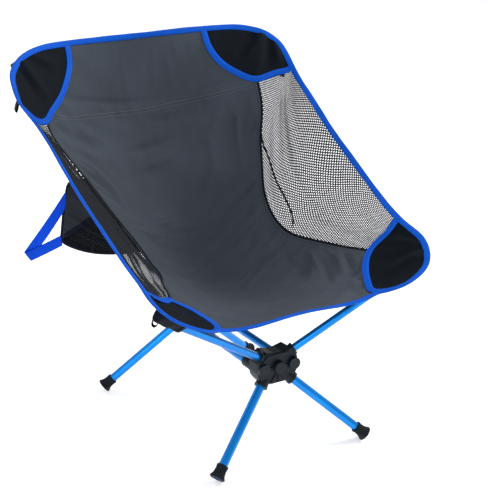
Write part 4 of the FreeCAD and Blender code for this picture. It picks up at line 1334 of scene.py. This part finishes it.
for side, sign in SIDES:
    make_sleeve("front", side, sign, back=56, half_width=20, seed=1.0 + sign)
    make_sleeve("top", side, sign, back=62, half_width=21, seed=2.5 + sign)


# ------------------------------------------------------------------ grab tabs
def make_tab(name, place, out, down, length, width, opening):
    """A webbing strap whose two ends meet, so that it opens into a loop."""
    place = np.array(place, float) + SHIFT
    out, down = unit(np.array(out, float)), unit(np.array(down, float))
    across = unit(np.cross(down, out))
    out = np.cross(across, down)
    angle = np.linspace(0, 2 * np.pi, 61)[3:-3]
    drop = length * (1 - np.cos(angle)) / 2
    spread = opening * np.sin(angle) * (0.25 + 0.75 * drop / length)
    path = place + down * drop[:, None] + out * spread[:, None]
    tangent = unit(np.gradient(path, axis=0))
    obj = sweep(name, path, across, np.cross(tangent, across), rounded(width, 1.4, 0.65))
    return piece(obj, "seat", "black_webbing", "black_webbing")


for side, sign in SIDES:
    make_tab("front_grab_tab_" + side, place=(sign * 250, -200, 331),
                         out=(sign * 0.75, 0.6, 0.1), down=(sign * 0.30, 0.10, -1),
                         length=27, width=11, opening=6.5)
    make_tab("top_grab_tab_" + side, place=(sign * 277, 272, 575),
                         out=(sign, 0.2, 0), down=(sign * 0.22, 0.15, -1),
                         length=25, width=13, opening=2.4)
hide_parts("corner_pull_tabs")

# ------------------------------------------------------------------ pouch behind the backrest
POUCH_TOP, POUCH_LOW = 400.0, 232.0              # z of the top and of the lowest point
POUCH_CORNER_RISE = 50.0                         # how far the lower corners are above that
POUCH_Y = 296.0 + SHIFT_Y
HALF_TOP, HALF_LOW = 179.0, 201.0                # half widths
TOP_INSET, LOW_INSET = 2.4, 2.6                  # the panels end this far inside the rim
FRONT_BULGE, FRONT_OFFSET = -3.0, -1.7
FORWARD = np.array([0, -1.0, 0.15])


def half_at(q):
    return HALF_TOP + (HALF_LOW - HALF_TOP) * np.clip(q, 0, 1) ** 0.7


def pouch_low(a):
    return POUCH_LOW + POUCH_CORNER_RISE * np.abs(a) ** 3


def q_at(a, z):
    return (POUCH_TOP - z) / (POUCH_TOP - pouch_low(a))


def top_q(a):
    return q_at(a, POUCH_TOP - TOP_INSET)


def low_q(a):
    return q_at(a, pouch_low(a) + LOW_INSET)


def net_q(a, rise=0.0):
    """q of the net's arched upper edge."""
    return q_at(a, 289.0 + 58.0 * (1 - np.minimum(np.abs(a), 1) ** 2.2) + rise)


def pouch_at(a, q, bulge, offset):
    """Points of the pouch: a from -1 to 1 across, q from 0 (top) to 1 (lower edge)."""
    a, q = np.broadcast_arrays(np.asarray(a, float), np.asarray(q, float))
    z = POUCH_TOP + (pouch_low(a) - POUCH_TOP) * q
    x = a * half_at(q)
    inside = np.sqrt(np.clip(1 - a ** 4, 0, 1))
    sag = np.sin(np.pi * np.clip(q, 0, 1) ** 1.3) * inside
    strength = 1.0 if bulge > 0 else 0.55
    hang = np.sin(np.pi * np.clip(q, 0, 1)) ** 0.8
    fan = np.arctan2(x, 520 * (1.15 - q))
    ripple = (2.2 * np.sin(fan * 41 + 0.8) + 1.3 * np.sin(fan * 73 - 1.1)) * hang * strength
    # creases that run down from the corners, and a soft horizontal buckle
    for sign in (-1, 1):
        near_corner = np.exp(-(((x - sign * 176) / 40.0) ** 2 + ((z - 352) / 50.0) ** 2))
        ripple = (ripple + 2.4 * strength * np.sin((sign * -x + 0.8 * z) / 7.5)
                  * near_corner * inside)
    ripple = ripple + (1.6 * strength * np.sin(z / 12.0 + x / 70.0)
                       * np.exp(-((q - 0.55) / 0.3) ** 2) * inside)
    return np.stack([x, POUCH_Y + offset + bulge * sag + ripple * inside, z], -1)


def pouch_sheet(bulge, offset, columns, rows, upper, lower, edge):
    """Grid of points and normals between two q lines, for a from -edge to edge."""
    a, share = np.meshgrid(np.linspace(-edge, edge, columns), np.linspace(0, 1, rows))
    q = upper(a) + (lower(a) - upper(a)) * share
    points = pouch_at(a, q, bulge, offset)
    normals = unit(np.cross(np.gradient(points, axis=1), np.gradient(points, axis=0)))
    return points, normals


def make_pouch_panels():
    back = pouch_sheet(31.0, 0.3, 150, 90, top_q, low_q, 0.985)
    piece(slab("pouch_back_cloth", *back, 1.0), "pouch", "pouch_back_fabric", "seat_fabric",
          "pouch_back_panel")
    front = pouch_sheet(FRONT_BULGE, FRONT_OFFSET, 160, 60, top_q,
                        lambda a: net_q(a, -1.0), 0.985)
    piece(slab("pouch_front_cloth", *front, 1.0), "pouch", "pouch_fabric", "seat_fabric",
          "pouch_front_panel")
    below = pouch_sheet(FRONT_BULGE, FRONT_OFFSET, 160, 60, lambda a: net_q(a, 1.0),
                        low_q, 0.975)
    net = net_sheet("pouch_net", bilinear(*below), width=388.0, length=74.0, pitch=5.4,
                    strand=1.5, thickness=1.0)
    piece(net, "pouch", "net_fabric_dark", "net_fabric", "pouch_mesh_panel")


def make_pouch_tapes():
    """The net's bound upper edge, and two lines that split the net in three."""
    a = np.linspace(-0.966, 0.966, 120)
    edge = strip("pouch_net_edge", pouch_at(a, net_q(a), FRONT_BULGE, -3.0), FORWARD,
                 rounded(8.0, 1.5, 0.7))
    piece(edge, "pouch", "pouch_binding", "black_webbing")
    share = np.linspace(0, 1, 24)
    for side, sign in SIDES:
        a = sign * (0.66 + 0.03 * share)
        q = net_q(a) * (1 - share) + low_q(a) * share
        divider = strip("pouch_divider_" + side, pouch_at(a, q, FRONT_BULGE, -2.6), FORWARD,
                        rounded(5.0, 1.2, 0.55))
        piece(divider, "pouch", "black_webbing", "black_webbing")


def make_pouch_binding():
    """Binding folded round the rim, with soft corners."""
    def flat(a, q):
        return pouch_at(a, q, 0.0, 0.0)[..., [0, 2]]
    rim = np.concatenate([flat(np.linspace(-1, 1, 60), 0), flat(1, np.linspace(0, 1, 30)[1:]),
                          flat(np.linspace(1, -1, 80)[1:], 1),
                          flat(-1, np.linspace(1, 0, 30)[1:-1])])
    rim = relax(rim, 4)
    inward = -outward_normals(rim)
    x, z = (rim + inward * 2.6).T
    path = np.stack([x, POUCH_Y - 0.5 + 0.9 * np.sin(x / 24.0) * np.sin(z / 31.0), z], 1)
    side = np.stack([inward[:, 0], 0 * inward[:, 0], inward[:, 1]], 1)
    profile = [(3.4, 0.9), (2.6, 1.75), (0, 1.95), (-2.6, 1.7), (-3.4, 0.6), (-3.4, -0.6),
               (-2.6, -1.7), (0, -1.95), (2.6, -1.75), (3.4, -0.9)]
    obj = sweep("pouch_edge_binding", path, side, np.cross(loop_tangents(path), side), profile,
                closed=True)
    piece(obj, "pouch", "pouch_binding", "black_webbing", "pouch_binding")


make_pouch_panels()
make_pouch_tapes()
make_pouch_binding()

# ------------------------------------------------------------------ handle on the pouch's right
HANDLE_FOLD = np.array([-267.5, 267.5])          # (x, z) of the fold's middle
HANDLE_START = np.array([-192.0, 357.0])         # (x, z) on the line that leads to the fold
HANDLE_BACK = unit(np.array([0.964, 0.265]))     # direction after the fold
HANDLE_HALF = 10.2
FOLD_RADIUS = 1.5


def handle_ends(lanes, out, across, fold_at):
    """Where each lane along the webbing starts and stops, just inside the pouch's binding."""
    low_corner = pouch_low(1)

    def side_x(z):
        return -half_at((POUCH_TOP - z) / (POUCH_TOP - low_corner))
    start, stop = [], []
    for lane, fold in zip(lanes, fold_at):
        reach = -130.0
        for _ in range(60):
            x, z = HANDLE_FOLD + out * reach + across * lane
            reach += (x - (side_x(min(z, POUCH_TOP)) + 3.2)) * 0.6
        start.append(reach)
        turn = HANDLE_FOLD + out * fold + across * lane
        reach = 60.0
        for _ in range(60):
            x, z = turn + HANDLE_BACK * reach
            reach += (side_x(max(z, low_corner)) + 3.0 - x) * 0.6
        stop.append(fold + reach + np.pi * FOLD_RADIUS)
    return np.array(start), np.array(stop)


def make_handle():
    """Webbing that runs out from the pouch, folds flat on itself and runs back."""
    out = unit(HANDLE_FOLD - HANDLE_START)
    across = np.array([-out[1], out[0]])
    fold_normal = unit(out - HANDLE_BACK)
    lanes = np.linspace(-HANDLE_HALF, HANDLE_HALF, 15)
    fold_at = -lanes * (across @ fold_normal) / (out @ fold_normal)
    start, stop = handle_ends(lanes, out, across, fold_at)
    along = start + (stop - start) * np.linspace(0, 1, 190)[:, None]
    flat = HANDLE_FOLD + along[..., None] * out + lanes[None, :, None] * across
    past = (flat - HANDLE_FOLD) @ fold_normal
    base = flat - past[..., None] * fold_normal
    angle = np.clip(past / FOLD_RADIUS, 0, np.pi)
    beyond = np.maximum(past - np.pi * FOLD_RADIUS, 0)
    folded = base + (FOLD_RADIUS * np.sin(angle) - beyond)[..., None] * fold_normal
    place = np.where(past[..., None] < 0, flat, folded)
    depth = FOLD_RADIUS * (1 - np.cos(angle))
    # both runs bow towards the front, and the second one comes back to the pouch
    first = np.clip((along - start) / (fold_at - start), 0, 1)
    second = np.clip((along - fold_at) / (stop - fold_at), 0, 1)
    bow = np.where(along < fold_at,
                   -3.4 * np.sin(np.pi * first) * (1 - 0.3 * first) + 1.2 * first,
                   1.2 - 1.2 * second - np.sin(np.pi * second))
    bow = moving_mean(bow, 11)
    ends = np.where(along < fold_at, 0, depth * second)
    cup = 0.35 * np.cos(lanes / HANDLE_HALF * np.pi / 2)[None]
    y = POUCH_Y - 0.5 - depth + ends + bow - cup
    points = np.stack([place[..., 0], y, place[..., 1]], -1)
    normals = unit(np.cross(np.gradient(points, axis=0), np.gradient(points, axis=1)))
    uv = np.stack([along / 1000, np.broadcast_to((lanes[None] + 11) / 22, along.shape)], 2)
    piece(slab("pouch_handle_webbing", points, normals, 1.5, uv), "pouch_handle",
          "blue_webbing", "blue_webbing", "pouch_handle")


make_handle()

# ------------------------------------------------------------------ feet
# Leg's hub end (y, z is shared by both sides) and floor point on the +X side
LEGS = {"front": ((18.0, -148, 140.0), (163.3, -216.3, 0.0)),
        "rear": ((18.0, 148, 140.0), (175.3, 206.6, 0.0))}
FOOT_END_RADIUS = 13.75
FOOT_LENGTH = 39.0                               # from its upper end to the leg's floor point
FLUTES = 18
# Stations down the foot: depth (scaled to fit), radius, share of the flutes' depth
FOOT_STATIONS = np.array([
    (0, 9.3, 0), (0.6, 10.0, 0), (1.6, 10.3, 0), (4.5, 10.3, 0), (5.2, 10.15, 0.1),
    (6.0, 9.85, .55), (8, 9.8, .85), (12, 9.85, .95), (16, 10.15, 1.0), (19, 10.8, 1.0),
    (21.5, 11.6, .95), (23.5, 12.5, .85), (25.0, 13.2, .7), (26.2, 13.65, .5),
    (27.2, 13.75, .25), (28.0, 13.5, .1), (28.6, 12.7, 0), (28.9, 11.4, 0)])
# Rings in the upper opening, as (depth, radius) from the foot's upper end
FOOT_MOUTH = ((1.2, 7.9), (0.1, 8.3))
# Shallow rings of the sole, as (depth, radius) from the foot's lower end
FOOT_SOLE = ((0.2, 9.6), (-0.5, 8.6), (-0.6, 5.0), (0.1, 4.2), (0.2, 0.4))


def make_foot(end, side, sign):
    """A fluted rubber bell round the leg's lower end."""
    root, tip = [np.array(point) * np.array([sign, 1, 1]) + SHIFT for point in LEGS[end]]
    direction = unit(tip - root)
    length = np.linalg.norm(tip - root)
    across = unit(np.cross(direction, np.array([0, 0, 1.0])))
    up = np.cross(across, direction)
    # the rim's lowest point touches the floor
    low = length - FOOT_END_RADIUS * up[2] / -direction[2] + 1.6
    high = length - FOOT_LENGTH
    angle = np.linspace(0, 2 * np.pi, 180, endpoint=False)
    groove = 1 - (0.5 - 0.5 * np.cos(FLUTES * angle)) ** 0.6

    def ring(depth, radius):
        return (root + direction * depth + (np.cos(angle) * radius)[:, None] * across
                + (np.sin(angle) * radius)[:, None] * up)
    rows = [ring(high + depth, radius) for depth, radius in FOOT_MOUTH]
    scale = (low - high) / FOOT_STATIONS[-1, 0]
    rows += [ring(high + depth * scale, radius - 0.85 * flute * groove)
             for depth, radius, flute in FOOT_STATIONS]
    rows += [ring(low + depth, radius) for depth, radius in FOOT_SOLE]
    points = np.array(rows)
    points[..., 2] = np.maximum(points[..., 2], 0.0)
    u, v = np.broadcast_arrays(arc_length(points[:, 0])[:, None] / 1000, angle[None] * 0.012)
    obj = make_mesh(f"rubber_foot_{end}_{side}", points.reshape(-1, 3),
                    ring_faces(*points.shape[:2]), np.stack([u, v], 2).reshape(-1, 2))
    piece(obj, f"leg_{end}_{side}", "foot_rubber", "foot_rubber", f"leg_foot_{end}_{side}")


for side, sign in SIDES:
    for end in LEGS:
        make_foot(end, side, sign)

# ------------------------------------------------------------------ hubs
HUB_CAP_Z, HUB_CAP_RADIUS = 158.5, 11.0
# Raised ribs on the hub's face: start (x, z), end (x, z), half width at each, edge round
HUB_RIBS = [
    ((-2.5, 149), (-14, 131.5), 1.3, 1.1), ((2.5, 149), (14, 131.5), 1.3, 1.1),
    ((0, 149), (0, 131), 1.2, 1.0),
    ((-20, 158.5), (-10, 158.5), 1.3, 1.3), ((20, 158.5), (10, 158.5), 1.3, 1.3),
    ((-34, 170), (-20, 183), 1.4, 1.4), ((34, 170), (20, 183), 1.4, 1.4),
    ((-16, 181.5), (16, 181.5), 1.5, 1.5),
]


def prism(name, outline, inner_y, outer_y, sign, bevel):
    """A plate with an (x, z) outline between two distances along Y, bevelled outside."""
    outline = np.array(outline, float)
    normals = outward_normals(outline)
    rings = [(0.0, inner_y), (0.0, outer_y - bevel), (-0.3 * bevel, outer_y - 0.3 * bevel),
             (-bevel, outer_y)]
    points = []
    for offset, y in rings:
        x, z = (outline + normals * offset).T
        points.append(np.stack([x, np.full(len(x), sign * y + SHIFT_Y), z], 1))
    return make_mesh(name, np.concatenate(points), ring_faces(len(rings), len(outline)),
                     smooth=False)


def rib_outline(start, end, start_half, end_half, steps=8):
    """Outline of a rib with rounded ends."""
    start, end = np.array(start, float), np.array(end, float)
    along = unit(end - start)
    across = np.array([-along[1], along[0]])
    points = []
    for place, half, turn in ((start, start_half, 1), (end, end_half, -1)):
        for k in range(steps + 1):
            angle = math.pi * k / steps
            points.append(place + turn * (across * half * math.cos(angle)
                                          - along * half * math.sin(angle)))
    return points[::-1]


def make_hub_face(end, sign):
    circle = [(HUB_CAP_RADIUS * math.cos(angle), HUB_CAP_Z + HUB_CAP_RADIUS * math.sin(angle))
              for angle in np.linspace(0, 2 * math.pi, 48, endpoint=False)]
    cap = prism(end + "_hub_cap", circle, 158.0, 168.2, sign, bevel=1.4)
    piece(cap, "hub_core", "hub_plastic", "hub_plastic", end + "_hub_screw")
    for i, rib in enumerate(HUB_RIBS):
        obj = prism(f"{end}_hub_rib_{i}", rib_outline(*rib), 159.0, 162.2, sign, bevel=0.7)
        piece(obj, "hub_core", "hub_plastic", "hub_plastic")


make_hub_face("front", -1)
make_hub_face("rear", 1)

# ------------------------------------------------------------------ floor, lights, world, camera
scene = bpy.context.scene


def make_floor():
    half = 40
    mesh = bpy.data.meshes.new("floor")
    mesh.from_pydata([(-half, -half, 0), (half, -half, 0), (half, half, 0), (-half, half, 0)],
                     [], [(0, 1, 2, 3)])
    obj = bpy.data.objects.new("studio_floor", mesh)
    scene.collection.objects.link(obj)
    mat = Shader("studio_floor_paper")
    patches = mat.noise(mat.coord(), scale=3.0, detail=2.0, rough=0.5)
    color = mat.ramp(patches, (0.3, (0.93, 0.93, 0.935)), (0.7, (0.955, 0.955, 0.96)))
    mesh.materials.append(mat.finish(color, 0.9, Specular_IOR_Level=0.1,
                                     Emission_Color=(1, 1, 1, 1), Emission_Strength=0.40))
    return obj


def area_light(name, place, target, size, power):
    """A rectangular light; places and sizes are in metres."""
    light = bpy.data.lights.new(name, "AREA")
    light.shape = "RECTANGLE"
    light.size, light.size_y = size
    light.energy = power
    light.color = (1, 1, 1)
    obj = bpy.data.objects.new(name, light)
    scene.collection.objects.link(obj)
    obj.location = place
    obj.rotation_euler = (Vector(target) - Vector(place)).to_track_quat("-Z", "Y").to_euler()
    return obj


def make_world():
    """Near-white to the camera, mid grey as a light."""
    world = bpy.data.worlds.new("studio")
    world.use_nodes = True
    tree = world.node_tree
    background = tree.nodes["Background"]
    coord = tree.nodes.new("ShaderNodeTexCoord")
    split = tree.nodes.new("ShaderNodeSeparateXYZ")
    ramp = tree.nodes.new("ShaderNodeValToRGB")
    low, high = ramp.color_ramp.elements
    low.position, low.color = 0.0, (0.50, 0.51, 0.53, 1)
    high.position, high.color = 0.9, (0.53, 0.53, 0.55, 1)
    ray = tree.nodes.new("ShaderNodeLightPath")
    mix = tree.nodes.new("ShaderNodeMix")
    mix.data_type = "RGBA"
    mix.inputs[7].default_value = (0.97, 0.97, 0.975, 1)
    background.inputs[1].default_value = 1.0
    for source, target in ((coord.outputs["Generated"], split.inputs[0]),
                           (split.outputs[2], ramp.inputs[0]),
                           (ray.outputs["Is Camera Ray"], mix.inputs[0]),
                           (ramp.outputs[0], mix.inputs[6]),
                           (mix.outputs[2], background.inputs[0])):
        tree.links.new(source, target)
    scene.world = world


def make_camera():
    azimuth, elevation = math.radians(-30.79), math.radians(20.66)
    distance = 2.30839
    target = Vector((0, SHIFT_Y / 1000, 0.300))
    back = Vector((math.sin(azimuth) * math.cos(elevation),
                   -math.cos(azimuth) * math.cos(elevation), math.sin(elevation)))
    eye = target + back * distance
    right = Vector((math.cos(azimuth), math.sin(azimuth), 0))
    up = back.cross(right)
    camera = bpy.data.cameras.new("main_camera")
    camera.sensor_fit = "VERTICAL"
    camera.sensor_height = 36.0
    camera.lens = 93.6695372
    camera.shift_x = 0.026498994
    camera.shift_y = 0.0260160966
    camera.clip_start, camera.clip_end = 0.05, 60
    obj = bpy.data.objects.new("main_camera", camera)
    scene.collection.objects.link(obj)
    rows = [(right[i], up[i], back[i], eye[i]) for i in range(3)]
    obj.matrix_world = Matrix((*rows, (0, 0, 0, 1)))
    scene.camera = obj
    return obj


stage = [
    make_floor(),
    area_light("key_softbox", place=(2.7, -0.2, 2.5), target=(0, 0, 0.35), size=(1.3, 1.1),
               power=82),
    area_light("fill_softbox", place=(-2.4, -2.6, 1.6), target=(0, 0, 0.35), size=(1.8, 1.6),
               power=40),
    area_light("back_softbox", place=(-0.9, 2.8, 2.6), target=(0, 0, 0.4), size=(1.6, 1.2),
               power=34),
    area_light("low_strip", place=(-2.8, 0.6, 0.9), target=(0, 0, 0.3), size=(0.6, 2.0),
               power=8),
]
make_world()
scene.view_settings.view_transform = "Standard"
scene.view_settings.look = "None"
scene.view_settings.exposure = 0.0
scene.view_settings.gamma = 1.0
stage.append(make_camera())
